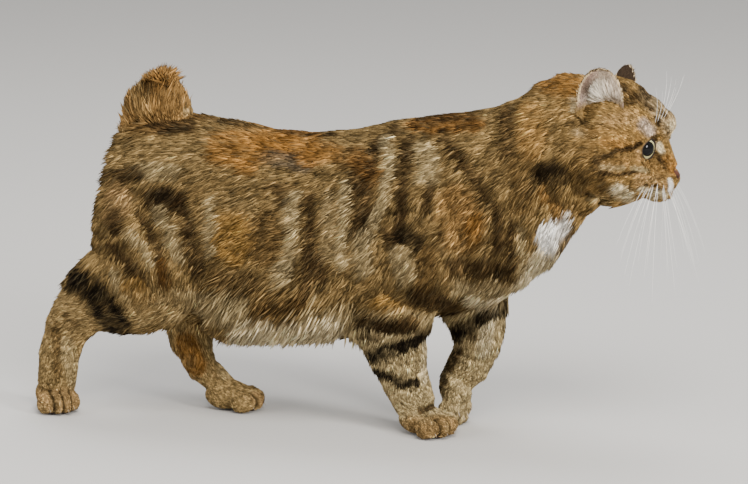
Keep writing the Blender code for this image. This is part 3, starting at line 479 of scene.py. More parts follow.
TAIL_MARKS = {
    "grey rim": ("ground", 8, 0.55, ((136, 75), (139, 105))),
    "warm top": ("orange", 8, 0.45, ((150, 78), (176, 74))),
    "whole": ("brown", 34, 0.22, ((155, 90), (165, 112))),
    "front edge": ("dark", 5, 0.9, ((180, 66), (190, 80), (196, 98), (197, 110))),
    "pale tuft": ("pale", 4, 0.45, ((184, 107), (186, 109))),
    "root band": ("dark", 8, 0.85, ((150, 124), (190, 126))),
}
HEAD_MARKS = {
    "nape": ("orange", 14, 0.75, ((545, 82), (570, 84))),
    "nape gold": ("amber", 12, 0.75, ((548, 105), (566, 108))),
    "neck side": ("brown", 12, 0.7, ((546, 135), (562, 150))),
    "neck dark": ("black", 9, 0.8, ((545, 170), (560, 182))),
    "ear back oval": ("dark", 5, 0.85, ((567, 124), (584, 124))),
    "ear pocket": ("cream", 3.2, 0.85, ((571, 99), (574, 111))),
    "under ear": ("grey", 4, 0.6, ((572, 133), (590, 137))),
    "brow": ("grey", 10, 0.75, ((648, 95), (661, 110), (672, 128))),
    "crown dark": ("dark", 8, 0.9, ((622, 88), (628, 99), (640, 97))),
    "crown stripe": ("dark", 3, 0.7, ((640, 84), (650, 96))),
    "brow spot 1": ("dark", 2.6, 0.9, ((646, 104), (651, 109))),
    "brow spot 2": ("dark", 2.4, 0.9, ((655, 117), (659, 125))),
    "brow spot 3": ("dark", 2.2, 0.85, ((662, 110), (666, 117))),
    "brow pale": ("cream", 2.4, 0.5, ((671, 124), (673, 134))),
    "temple": ("buff", 8, 0.55, ((602, 122), (630, 118))),
    "temple gold": ("amber", 10, 0.85, ((594, 138), (634, 140))),
    "temple orange": ("orange", 5, 0.6, ((604, 143), (630, 146))),
    "above eye": ("lilac", 6.0, 0.45, ((643, 124), (650, 131))),
    "inner corner": ("dark", 2.4, 0.95, ((652, 138), (655, 140))),
    "corner cream": ("cream", 3.4, 1.0, ((659, 145), (662, 151))),
    "corner low": ("dark", 3.2, 0.9, ((653, 152), (661, 160))),
    "eye buff": ("buff", 3.5, 0.8, ((637, 149), (641, 158))),
    "cheek olive": ("umber", 12, 0.5, ((572, 150), (600, 168))),
    "cheek buff": ("buff", 5, 0.6, ((598, 166), (612, 168))),
    "eye streak": ("dark", 3.0, 0.95, ((640, 143), (632, 147), (612, 152), (598, 159), (594, 164))),
    "streak end": ("dark", 5, 0.75, ((594, 162), (592, 174))),
    "cheek brown": ("umber", 8, 0.7, ((618, 162), (644, 162))),
    "cheek pale upper": ("pale", 3, 0.6, ((600, 168), (622, 168))),
    "cheek line": ("dark", 2.4, 0.95, ((600, 173), (616, 176), (632, 172), (644, 172))),
    "cheek pale": ("pale", 2.5, 0.7, ((632, 168), (648, 171))),
    "jaw blotch 1": ("dark", 5, 0.8, ((598, 178), (602, 190))),
    "jaw blotch 2": ("dark", 5, 0.75, ((582, 172), (588, 198))),
    "jaw pale": ("pale", 5, 0.6, ((590, 200), (606, 202))),
    "jaw": ("cream", 6.0, 0.85, ((615, 191), (628, 197))),
    "pad": ("buff", 8, 0.75, ((640, 183), (662, 184))),
    "pad rim": ("cream", 3, 0.75, ((640, 190), (660, 192))),
    "muzzle side": ("umber", 6, 0.7, ((656, 168), (664, 172))),
    "bridge": ("orange", 6, 0.9, ((669, 160), (675, 170))),
    "bridge side": ("dark", 3, 0.7, ((662, 162), (668, 170))),
    "lip white": ("white", 2.4, 0.9, ((670, 181), (671, 189))),
    "dots 1": ("dark", 1.2, 0.8, ((649, 180), (650, 180))),
    "dots 2": ("dark", 1.2, 0.8, ((656, 179), (657, 179))),
    "dots 3": ("dark", 1.2, 0.8, ((663, 179), (664, 179))),
    "dots 4": ("dark", 1.3, 0.85, ((644, 186), (648, 186))),
    "dots 5": ("dark", 1.3, 0.85, ((654, 185), (657, 185))),
    "dots 6": ("dark", 1.2, 0.8, ((646, 193), (650, 192))),
    "dots 7": ("dark", 1.2, 0.8, ((656, 191), (659, 190))),
    "chin": ("cream", 4, 0.7, ((650, 196), (664, 194))),
}
GROUNDS = {
    "trunk": "ground",
    "tail": "umber",
    "head": "fawn",
    "near_hind": "beige",
    "far_hind": "beige",
    "near_fore": "pale",
    "far_fore": "pale",
}
BODY_SOFTNESS = 0.33
HEAD_SOFTNESS = 0.6
LEAST_SOFTNESS = 0.8
# Strokes wander by noise: size, table and reach in the picture
WANDER = ((0.010, 0, 3.0), (0.0035, 1, 1.8))
HEAD_WANDER = 0.35
LEG_WANDER = 0.6
# Painted shade: share by which the clefts between the toes are darkened
CLEFT_SHADE = 0.85
# Flecks run along the usual lie of the hair: size, table and strength
LIE_WAY = np.array((-0.82, 0.0, -0.57))
LIE_STRETCH = 0.62
LONG_FLECK = ((0.0026, 0, 0.55), (0.0060, 2, 0.40))
SHORT_FLECK = ((0.0017, 1, 0.70), (0.0040, 0, 0.30))
SHORT_FLECK_GAIN = 1.15
FLECK_BRIGHT = 0.6
FLECK_CALM = 0.8
# Painted shade: roots of the hair and the skin under the coat are darker than the hair, less so where it
# is white
PALE_TONE = 0.65
ROOT_SHADE = 0.55
ROOT_PALE = 0.35
MOST_COLOUR = 0.95

# Lie of the hair on the trunk: place, direction, length, width, lift in degrees, on both sides
TRUNK_LIE = (
    ((0.165, 0.000, 0.292), (-1.0, 0.0, -0.15), 0.0104, 0.00066, 17),
    ((0.100, 0.000, 0.266), (-1.0, 0.0, -0.10), 0.0130, 0.00073, 19),
    ((0.020, 0.000, 0.250), (-1.0, 0.0, -0.05), 0.0136, 0.00073, 19),
    ((-0.050, 0.000, 0.236), (-1.0, 0.0, 0.0), 0.0143, 0.00073, 19),
    ((-0.120, 0.000, 0.241), (-1.0, 0.0, 0.05), 0.0150, 0.00073, 19),
    ((-0.170, 0.030, 0.235), (-0.9, 0.1, -0.4), 0.0143, 0.00073, 21),
    ((0.050, 0.066, 0.190), (-0.6, 0.0, -0.75), 0.0124, 0.00073, 19),
    ((0.000, 0.073, 0.170), (-0.8, 0.0, -0.55), 0.0157, 0.00079, 21),
    ((-0.050, 0.075, 0.170), (-0.85, 0.0, -0.5), 0.0163, 0.00079, 21),
    ((-0.100, 0.074, 0.180), (-0.85, 0.0, -0.5), 0.0163, 0.00079, 21),
    ((-0.160, 0.068, 0.190), (-0.7, 0.0, -0.7), 0.0157, 0.00079, 21),
    ((-0.184, 0.070, 0.143), (-0.45, 0.0, -0.9), 0.0143, 0.00073, 19),
    ((-0.215, 0.040, 0.130), (-0.5, 0.0, -0.85), 0.0182, 0.00079, 27),
    ((-0.212, 0.030, 0.190), (-0.8, 0.0, -0.55), 0.0185, 0.00079, 33),
    ((-0.203, 0.012, 0.236), (-0.85, 0.0, 0.5), 0.0185, 0.00079, 33),
    ((-0.150, 0.060, 0.110), (-0.3, 0.0, -0.95), 0.0143, 0.00073, 21),
    ((0.030, 0.050, 0.110), (-0.6, -0.1, -0.8), 0.0169, 0.00079, 27),
    ((-0.020, 0.050, 0.100), (-0.6, -0.2, -0.8), 0.0358, 0.00104, 40),
    ((-0.080, 0.050, 0.095), (-0.6, -0.2, -0.8), 0.0381, 0.00104, 40),
    ((0.000, 0.000, 0.088), (-0.7, 0.0, -0.7), 0.0336, 0.00104, 40),
    ((-0.080, 0.000, 0.081), (-0.7, 0.0, -0.7), 0.0358, 0.00104, 40),
    ((-0.150, 0.000, 0.086), (-0.6, 0.0, -0.8), 0.0169, 0.00079, 27),
    ((0.160, 0.000, 0.170), (-0.45, 0.0, -0.9), 0.0194, 0.00078, 18),
    ((0.130, 0.000, 0.140), (-0.6, 0.0, -0.8), 0.0194, 0.00078, 18),
    ((0.100, 0.000, 0.110), (-0.6, 0.0, -0.8), 0.0202, 0.00078, 24),
    ((0.120, 0.045, 0.170), (-0.5, 0.0, -0.85), 0.0182, 0.00079, 25),
    ((0.090, 0.055, 0.140), (-0.5, 0.0, -0.85), 0.0157, 0.00079, 21),
    ((0.155, 0.042, 0.250), (-0.75, 0.0, -0.65), 0.0169, 0.00079, 25),
    ((0.165, 0.035, 0.210), (-0.5, 0.0, -0.85), 0.0194, 0.00078, 18),
    ((0.190, 0.000, 0.190), (-0.5, 0.0, -0.85), 0.0141, 0.00074, 18),
    ((0.110, 0.055, 0.220), (-0.7, 0.0, -0.7), 0.0157, 0.00079, 21),
)
# The same on the head, in the head's frame
HEAD_LIE = (
    ((0.044, 0.000, -0.024), (-0.55, 0.0, 0.85), 0.0026, 0.00045, 22),
    ((0.040, 0.000, -0.008), (-0.3, 0.0, 1.0), 0.0040, 0.00045, 26),
    ((0.033, 0.000, 0.012), (-0.7, 0.0, 0.8), 0.0066, 0.00045, 26),
    ((0.010, 0.000, 0.038), (-1.0, 0.0, 0.1), 0.0070, 0.00050, 18),
    ((-0.030, 0.000, 0.035), (-1.0, 0.0, -0.2), 0.0120, 0.00065, 20),
    ((0.036, 0.012, 0.002), (-0.6, 0.4, 0.8), 0.0046, 0.00045, 24),
    ((0.036, 0.012, -0.010), (-0.2, 0.5, 0.9), 0.0026, 0.00042, 26),
    ((0.034, 0.012, -0.022), (-0.5, 0.6, -0.3), 0.0028, 0.00042, 24),
    ((0.030, 0.024, 0.002), (-0.7, 0.5, 0.7), 0.0034, 0.00042, 24),
    ((0.020, 0.031, -0.004), (-0.9, 0.3, 0.3), 0.0038, 0.00042, 22),
    ((0.015, 0.034, 0.010), (-0.9, 0.2, 0.2), 0.0056, 0.00048, 18),
    ((0.022, 0.032, -0.022), (-1.0, 0.2, -0.2), 0.0044, 0.00045, 22),
    ((0.010, 0.040, -0.020), (-1.0, 0.2, -0.3), 0.0066, 0.00050, 18),
    ((-0.010, 0.041, 0.002), (-1.0, 0.1, -0.2), 0.0085, 0.00055, 18),
    ((0.000, 0.043, -0.034), (-0.8, 0.2, -0.6), 0.0115, 0.00058, 24),
    ((-0.020, 0.040, -0.030), (-0.8, 0.1, -0.65), 0.0170, 0.00070, 24),
    ((0.015, 0.030, -0.048), (-0.8, 0.0, -0.6), 0.0100, 0.00056, 30),
    ((0.045, 0.012, -0.036), (-0.8, 0.5, -0.3), 0.0030, 0.00045, 22),
    ((0.036, 0.020, -0.036), (-0.9, 0.3, -0.25), 0.0044, 0.00045, 22),
    ((0.036, 0.000, -0.052), (-0.6, 0.0, -0.8), 0.0050, 0.00045, 24),
    ((0.000, 0.000, -0.060), (-0.6, 0.0, -0.8), 0.0190, 0.00075, 34),
    ((0.034, 0.020, -0.024), (-0.7, 0.6, -0.35), 0.0034, 0.00042, 30),
)
LEG_HAIR = (0.0115, 0.0050)
LEG_WIDTH = (0.00080, 0.00055)
LEG_LIFT = (19, 12)
TAIL_HAIR = 0.025
TAIL_WIDTH = 0.0009
TAIL_LIFT = 24
TAIL_FRONT = (-0.2, 0.6)
MIDDLE_PARTING = 0.010

# Tufts for each square centimetre of skin
CM2_PER_M2 = 1e4
DENSITY = {"trunk": 100.0, "tail": 165.0, "head": 300.0, "leg": 150.0, "ear": 290.0}
# Bare zones: gap to the mouth, nose and eye in their own sizes, lids in shares of the almond
MOUTH_BARE = 0.0011
NOSE_BARE = 1.16
EYE_BARE = 1.3
LID_BARE = 1.11
CLEFT_BARE = 0.8
LONG_HAIR = 0.0270
FINE_HAIR = 0.0110
CLUMP_SIZE = 0.0040
CLUMP_TONE = 0.20
TUFT_TONE = 0.30
CLUMP_PULL = 0.34
CLUMP_WANDER = 0.012
CLUMP_CELLS = 1024
FINE_CLUMP = 0.5
# How single tufts vary, as shares of the usual size, and their turn: size, table and angle
LENGTH_RANGE = (0.72, 1.18)
WIDTH_RANGE = (0.75, 1.25)
LIFT_RANGE = (0.65, 1.30)
LENGTH_WAVE = 0.12
SWIRL = ((0.022, 0, 0.24), (0.007, 1, 0.28))
SWIRL_RANDOM = 0.22
# A tuft's form: how far along it bends, lift past the bend, droop of long hair, depth of its root
BEND_AT = 0.45
OUTER_LIFT = 0.22
DROOP = 0.16
DROOP_LENGTHS = (0.016, 0.034)
ROOT_DEPTH = 0.0006
TUFT_FLOOR = 0.0009
# Tips: below the first share dark, above the second pale, the rest plain, some ticked with pale
TICKING = (0.26, 0.66)
TIP_SHADES = (0.35, 1.95, 1.05)
TICKED_FROM = 0.56
TICKED_BELOW = 0.3
# The coat's pieces end at these places along the body
RUMP_END = -0.095
FLANK_END = 0.025
SHOULDER_END = 0.115

# Places of the parts on the unwrapped skin: low corner and size
ISLANDS = {
    "trunk": (0.01, 0.01, 0.60, 0.48),
    "tail": (0.63, 0.01, 0.16, 0.22),
    "head": (0.01, 0.51, 0.46, 0.46),
    "near_hind": (0.50, 0.51, 0.22, 0.22),
    "far_hind": (0.75, 0.51, 0.22, 0.22),
    "near_fore": (0.50, 0.75, 0.22, 0.22),
    "far_fore": (0.75, 0.75, 0.22, 0.22),
    "ear": (0.63, 0.26, 0.30, 0.22),
}
PATCH = 0.003

# Faces of a closed tuft with one or two pairs of side points, the top ones first
TUFT_FACES = {
    1: ((0, 1, 2), (1, 3, 2), (0, 2, 3), (0, 3, 1)),
    2: ((0, 1, 2), (1, 3, 4), (1, 4, 2), (3, 5, 4), (0, 2, 4), (0, 4, 5), (0, 5, 3), (0, 3, 1)),
}

random = np.random.default_rng(SEED)
LATTICE = random.random((NOISE_TABLES, NOISE_CELLS, NOISE_CELLS, NOISE_CELLS))


def unit(vectors):
    return vectors / np.maximum(np.linalg.norm(vectors, axis=-1, keepdims=True), TINY)


def smooth_step(low, high, value):
    """0 below low, 1 above high, 3t^2 - 2t^3 between."""
    t = np.clip((value - low) / (high - low), 0.0, 1.0)
    return t * t * (3.0 - 2.0 * t)


def noise(points, size, channel):
    """Smooth value noise from -1 to 1 with cells of the given size."""
    table = LATTICE[channel]
    place = points / size + NOISE_SHIFT
    cell = np.floor(place).astype(int)
    part = place - cell
    part = part * part * (3.0 - 2.0 * part)
    total = np.zeros(len(points))
    for corner in np.ndindex(2, 2, 2):
        share = np.prod(np.where(corner, part, 1.0 - part), axis=1)
        index = (cell + corner) % NOISE_CELLS
        total += share * table[index[:, 0], index[:, 1], index[:, 2]]
    return total * 2.0 - 1.0


def mixed_noise(points, parts):
    """A sum of noises, each given as size, table and share."""
    return sum(noise(points, size, channel) * share for size, channel, share in parts)


def head_matrix():
    return Matrix.Translation(HEAD_CENTRE) @ Matrix.Rotation(HEAD_YAW, 4, "Z")


def moved(points, matrix):
    """Points moved by a 4x4 matrix."""
    grid = np.array(matrix)
    return points @ grid[:3, :3].T + grid[:3, 3]


def moved_form(form, matrix):
    """A grid of points moved by a 4x4 matrix."""
    return moved(form.reshape(-1, 3), matrix).reshape(form.shape)


def to_head(points):
    return moved(points, head_matrix().inverted())


def folded(points, side=1.0):
    """A copy of the points with both sides laid on one: the left for 1, the right for -1."""
    half = points.copy()
    half[:, 1] = side * np.abs(half[:, 1])
    return half


# Forms as grids of points


def grid_faces(rows, columns):
    """Quads of a grid whose last column meets its first, with a cap at either end."""
    low = (np.arange(rows - 1)[:, None] * columns + np.arange(columns)[None, :]).ravel()
    turn = (np.arange(rows - 1)[:, None] * columns + (np.arange(columns) + 1)[None, :] % columns).ravel()
    quads = np.stack([low, turn, turn + columns, low + columns], axis=1)
    caps = [list(range(columns))[::-1], [(rows - 1) * columns + k for k in range(columns)]]
    return quads.tolist() + caps


def full_turn(sides):
    """Angles all the way round, without the last one, which is the first again."""
    return np.linspace(0.0, math.tau, sides, endpoint=False)


def trunk_form(depth, first=0):
    """Rings m + u |cos t|^(2/n) + y |sin t|^(2/n) between a top and a bottom point.

    The coat's depth is taken off all round, and off the rump's end too.
    """
    turn = full_turn(TRUNK_SIDES)
    side = np.sign(np.sin(turn)) * np.abs(np.sin(turn)) ** (2 / TRUNK_FULLNESS)
    rise = np.sign(np.cos(turn)) * np.abs(np.cos(turn)) ** (2 / TRUNK_FULLNESS)
    rings = []
    for top, bottom, half_width in TRUNK[first:]:
        top = np.array((top[0], 0.0, top[1]))
        bottom = np.array((bottom[0], 0.0, bottom[1]))
        up = (top - bottom) / 2
        up = up * (1.0 - depth / np.linalg.norm(up))
        ring = (top + bottom) / 2 + rise[:, None] * up
        ring[:, 1] += side * (half_width - depth)
        rings.append(ring)
    rings[0][:, 0] += depth * (first == 0)
    return np.array(rings)


def path_form(path, depth, sides=24):
    """Ovals across a path of (x, y, z, half width across, half width along)."""
    stops = np.array(path)
    ahead = unit(np.gradient(stops[:, :3], axis=0))
    side = unit(np.array((0.0, 1.0, 0.0)) - ahead * ahead[:, 1:2])
    front = np.cross(ahead, side)
    turn = full_turn(sides)
    wide = np.maximum(stops[:, 3] - depth, LEAST_HALF_WIDTH)
    deep = np.maximum(stops[:, 4] - depth, LEAST_HALF_WIDTH)
    return (stops[:, None, :3]
            + side[:, None] * wide[:, None, None] * np.cos(turn)[None, :, None]
            + front[:, None] * deep[:, None, None] * np.sin(turn)[None, :, None])


def globe(angles, sides):
    """Unit directions (sin a cos b, sin a sin b, cos a), with a as given and b all the way round."""
    fall = angles[:, None]
    turn = full_turn(sides)[None, :]
    return np.stack([np.sin(fall) * np.cos(turn), np.sin(fall) * np.sin(turn),
                     np.cos(fall) * np.ones_like(turn)], axis=-1)


def ball_form(centre, radii, depth=0.0, rows=14, sides=22, pole_gap=0.04):
    """An ellipsoid: its centre plus its radii times a globe's directions."""
    shell = globe(np.linspace(pole_gap, math.pi - pole_gap, rows), sides)
    return np.array(centre) + shell * (np.array(radii) - depth)


def mirrored(form):
    return form * np.array((1.0, -1.0, 1.0))


def paw_matrix(leg):
    place, heading, bend, _ = PAWS[leg]
    turn = Matrix.Rotation(heading, 4, "Z") @ Matrix.Rotation(bend, 4, "Y")
    return Matrix.Translation(place) @ turn


def paw_forms(leg, depth):
    """A palm and four toes, made pointing along x and then set in place."""
    spread = PAWS[leg][3]
    forms = [ball_form(centre, (along, across * spread, high), depth)
             for centre, (along, across, high) in PALM_BALLS]
    for step, reach in TOES:
        side = step * TOE_STEP * spread
        forms.append(ball_form((reach, side, TOE_HEIGHT), TOE_RADII, depth))
        knuckle = (reach - KNUCKLE_BACK, side * KNUCKLE_INWARD, KNUCKLE_HEIGHT)
        forms.append(ball_form(knuckle, KNUCKLE_RADII, depth))
    return [moved_form(form, paw_matrix(leg)) for form in forms]


def head_forms():
    forms = [ball_form(*ball) for ball in HEAD_BALLS]
    for ball in HEAD_PAIRS:
        form = ball_form(*ball)
        forms += [form, mirrored(form)]
    forms.append(path_form(NOSE_BRIDGE, BRIDGE_DEPTH))
    return [moved_form(form, head_matrix()) for form in forms]


def joined_mesh(forms):
    """One mesh of several closed grids of points."""
    points = []
    faces = []
    start = 0
    for form in forms:
        points.append(form.reshape(-1, 3))
        faces += [[start + k for k in face] for face in grid_faces(form.shape[0], form.shape[1])]
        start += len(points[-1])
    mesh = bpy.data.meshes.new("forms")
    mesh.from_pydata(np.concatenate(points).tolist(), [], faces)
    return mesh


def placed(name, data):
    """A new object of a mesh, light or camera, put in the scene."""
    thing = bpy.data.objects.new(name, data)
    bpy.context.scene.collection.objects.link(thing)
    return thing


def applied(thing):
    """Replaces the thing's mesh with its evaluated one."""
    bpy.context.view_layer.update()
    graph = bpy.context.evaluated_depsgraph_get()
    mesh = bpy.data.meshes.new_from_object(thing.evaluated_get(graph))
    thing.modifiers.clear()
    thing.data = mesh
    return thing


def melted(name, forms, voxel, smoothing):
    """Closed forms remeshed to one skin and smoothed."""
    thing = placed(name, joined_mesh(forms))
    remesh = thing.modifiers.new("Remesh", "REMESH")
    remesh.mode = "VOXEL"
    remesh.voxel_size = voxel
    smooth = thing.modifiers.new("Smooth", "SMOOTH")
    smooth.factor = 0.5
    smooth.iterations = smoothing
    return applied(thing)


def points_of(mesh, normals=False):
    """The mesh's vertices, or its normals, as an array."""
    flat = np.empty(len(mesh.vertices) * 3)
    mesh.vertices.foreach_get("normal" if normals else "co", flat)
    return flat.reshape(-1, 3)


def set_points(mesh, points):
    mesh.vertices.foreach_set("co", points.ravel())
    mesh.update()


def line_distance(points, line):
    """Distance from each point to a line of straight pieces."""
    line = np.array(line, dtype=float)
    best = np.full(len(points), np.inf)
    for a, b in zip(line, line[1:]):
        run = b - a
        share = np.clip(((points - a) @ run) / max(run @ run, TINY), 0.0, 1.0)
        best = np.minimum(best, np.linalg.norm(points - a - share[:, None] * run, axis=1))
    return best


def eye_matrix(side):
    """The eye's frame in the head's: x is the way it looks."""
    turn = Matrix.Rotation(side * EYE_TURN, 4, "Z") @ Matrix.Rotation(-EYE_RISE, 4, "Y")
    return Matrix.Translation((EYE_CENTRE[0], side * EYE_CENTRE[1], EYE_CENTRE[2])) @ turn


def almond(points, side):
    """How far out a point of the eye's frame is on the lids' almond: 1 on the rim."""
    yaw = np.arctan2(points[:, 1] * side, points[:, 0])
    pitch = np.arctan2(points[:, 2], np.hypot(points[:, 0], points[:, 1]))
    along = yaw * math.cos(LID_TILT) + pitch * math.sin(LID_TILT)
    across = pitch * math.cos(LID_TILT) - yaw * math.sin(LID_TILT)
    away = np.hypot(along / LID_WIDE, across / LID_HIGH)
    return np.where(points[:, 0] > LID_BACK * EYE_RADIUS, away, np.inf)


def sculpt_head(mesh):
    """Eye sockets, lips and the line of the mouth, pushed into the head's skin."""
    local = to_head(points_of(mesh))
    normals = points_of(mesh, True) @ np.array(head_matrix())[:3, :3]
    gap = line_distance(folded(local), MOUTH_LINE)
    push = (MOUTH_PUSH * np.exp(-(gap / MOUTH_WIDTH) ** 2)
            + LIP_PUSH * np.exp(-((gap - LIP_GAP) / LIP_WIDTH) ** 2))
    local = local + normals * push[:, None]
    inner = EYE_RADIUS * SOCKET_DEPTH
    lid = EYE_RADIUS + LID_THICKNESS
    for side in (1, -1):
        matrix = eye_matrix(side)
        seen = moved(local, matrix.inverted())
        distance = np.linalg.norm(seen, axis=1)
        away = almond(seen, side)
        slope = lid + (distance - lid) * smooth_step(*SOCKET_SLOPE, away)
        target = np.where(away < SOCKET_RIM, inner, np.where(distance > lid, slope, lid))
        near = (distance < EYE_RADIUS * SOCKET_OUTER_FADE[0]) & (away < SOCKET_SLOPE[1])
        outside = smooth_step(*SOCKET_OUTER_FADE, distance / EYE_RADIUS)
        fade = np.where(distance > lid, outside, smooth_step(*SOCKET_INNER_FADE, away))
        wanted = distance + (target - distance) * np.where(away < SOCKET_RIM, 1.0, fade)
        seen = np.where(near[:, None], seen * (wanted / distance)[:, None], seen)
        local = moved(seen, matrix)
    set_points(mesh, moved(local, head_matrix()))


def eased(path, end):
    """A leg's path with one end drawn in, so that the next piece of the leg covers it."""
    stops = [list(stop) for stop in path]
    stops[end][3] -= LEG_OVERLAP
    stops[end][4] -= LEG_OVERLAP
    return tuple(tuple(stop) for stop in stops)


def cleft_share(points, leg):
    """How much of a cleft between two toes a point is in: exp(-(gap / width)^2) at the toes."""
    local = moved(points, paw_matrix(leg).inverted())
    front = smooth_step(*CLEFT_BACK, local[:, 0]) * smooth_step(*CLEFT_TOP, local[:, 2])
    front = front * (np.hypot(local[:, 0], local[:, 1]) < CLEFT_REACH) * (local[:, 2] > CLEFT_FOOT)
    share = np.zeros(len(points))
    for step in (-1.0, 0.0, 1.0):
        gap = local[:, 1] - step * TOE_STEP * PAWS[leg][3]
        share = np.maximum(share, np.exp(-(gap / CLEFT_WIDTH) ** 2))
    return share * front


def sculpt_paw(mesh, leg):
    """Clefts between the toes, pressed back and down into the paw."""
    points = points_of(mesh)
    matrix = paw_matrix(leg)
    depth = cleft_share(points, leg) * CLEFT_DEPTH
    local = moved(points, matrix.inverted())
    local[:, 0] -= depth
    local[:, 2] -= depth * CLEFT_DROP * smooth_step(*CLEFT_DROP_RISE, local[:, 2])
    set_points(mesh, moved(local, matrix))


# Regions of the body


def near_path(points, path):
    """Gap to a path's surface, place along it from 0 to 1, way along it, nearest place on it."""
    stops = np.array(path)
    gap = np.full(len(points), np.inf)
    along = np.zeros(len(points))
    ahead = np.zeros((len(points), 3))
    foot = np.zeros((len(points), 3))
    count = len(stops) - 1
    for i in range(count):
        run = stops[i + 1, :3] - stops[i, :3]
        share = np.clip(((points - stops[i, :3]) @ run) / (run @ run), 0.0, 1.0)
        place = stops[i, :3] + share[:, None] * run
        radius = stops[i, 3:].mean() * (1.0 - share) + stops[i + 1, 3:].mean() * share
        distance = np.linalg.norm(points - place, axis=1) - radius
        closer = distance < gap
        gap = np.where(closer, distance, gap)
        along = np.where(closer, (i + share) / count, along)
        ahead = np.where(closer[:, None], run / np.linalg.norm(run), ahead)
        foot = np.where(closer[:, None], place, foot)
    return gap, along, ahead, foot


def ball_gap(points, centre, radii):
    ratio = np.linalg.norm((points - np.array(centre)) / np.array(radii), axis=1)
    return (ratio - 1.0) * min(radii)


def trunk_gap(points):
    """Rough gap to the trunk, (r - 1) times the lesser half size, with r the oval's own measure."""
    middles = np.array([((t[0] + b[0]) / 2, (t[1] + b[1]) / 2, (t[1] - b[1]) / 2, w) for t, b, w in TRUNK])
    x = points[:, 0]
    middle = np.interp(x, middles[:, 0], middles[:, 1])
    half = np.interp(x, middles[:, 0], middles[:, 2])
    wide = np.interp(x, middles[:, 0], middles[:, 3])
    over = np.maximum(middles[0, 0] - x, 0.0) + np.maximum(x - middles[-1, 0], 0.0)
    power = TRUNK_FULLNESS
    ratio = ((np.abs(points[:, 1]) / wide) ** power
             + (np.abs(points[:, 2] - middle) / half) ** power) ** (1 / power)
    gap = (ratio - 1.0) * np.minimum(half, wide) + over
    for centre, radii in (THIGH, SHOULDER, CHEST):
        gap = np.minimum(gap, ball_gap(folded(points), centre, radii))
    return gap


def regions(points):
    """Share of each region at each point, adding up to 1, and each leg's own path measures."""
    gaps = {"trunk": trunk_gap(points)}
    gaps["head"] = ball_gap(to_head(points), *HEAD_REGION)
    gaps["tail"] = near_path(points, TAIL)[0]
    measures = {}
    for leg, path in LEGS.items():
        measures[leg] = near_path(points, path)
        paw = ball_gap(moved(points, paw_matrix(leg).inverted()), *PAW_REGION)
        gaps[leg] = np.minimum(measures[leg][0], paw)
    shares = {name: np.exp(-np.maximum(gap, 0.0) / (HEAD_BLEND if name == "head" else BLEND))
              for name, gap in gaps.items()}
    shares["trunk"] = shares["trunk"] * (1.0 - HEAD_OVER_TRUNK * smooth_step(*HEAD_COVER, gaps["head"]))
    for leg, (low, high) in LEG_FADE.items():
        shares[leg] = shares[leg] * smooth_step(high, low, points[:, 2])
        shares["trunk"] = shares["trunk"] * (1.0 - LIMB_OVER_TRUNK * shares[leg])
    shares["tail"] = shares["tail"] * smooth_step(*TAIL_FADE, points[:, 2])
    shares["trunk"] = shares["trunk"] * (1.0 - LIMB_OVER_TRUNK * shares["tail"])
    total = sum(shares.values()) + 1e-9
    return {name: share / total for name, share in shares.items()}, measures


# Markings


def camera_back():
    """The way from what the camera looks at to the camera."""
    level = math.cos(CAMERA_RISE)
    return np.array((math.sin(CAMERA_AZIMUTH) * level, -math.cos(CAMERA_AZIMUTH) * level,
                     math.sin(CAMERA_RISE)))


def picture_places(points):
    """Where points fall in the picture, by the camera's own sizes."""
    back = camera_back()
    right = np.array((math.cos(CAMERA_AZIMUTH), math.sin(CAMERA_AZIMUTH), 0.0))
    up = np.cross(back, right)
    seen = points - (np.array(CAMERA_TARGET) + back * CAMERA_DISTANCE)
    depth = -(seen @ back)
    return np.stack([PICTURE_MIDDLE[0] + FOCAL_PIXELS * (seen @ right) / depth,
                     PICTURE_MIDDLE[1] - FOCAL_PIXELS * (seen @ up) / depth], axis=1)


def blended(first, second, share):
    """The first value where the share is 0, the second where it is 1."""
    return first + (second - first) * share[:, None]


def painted(places, ground, marks, shift, softness=BODY_SOFTNESS):
    """Ground colour with each mark laid over it, full in its middle and gone past its width."""
    colour = np.tile(np.array(COLOURS[ground]), (len(places), 1))
    for name, width, strength, line in marks.values():
        soft = max(width * softness, LEAST_SOFTNESS)
        share = strength * smooth_step(width + soft, max(width - soft, 0.0), line_distance(places, line))
        share = share * np.clip(1.0 + 0.45 * shift, 0.55, 1.0)
        colour = blended(colour, np.array(COLOURS[name]), share)
    return colour


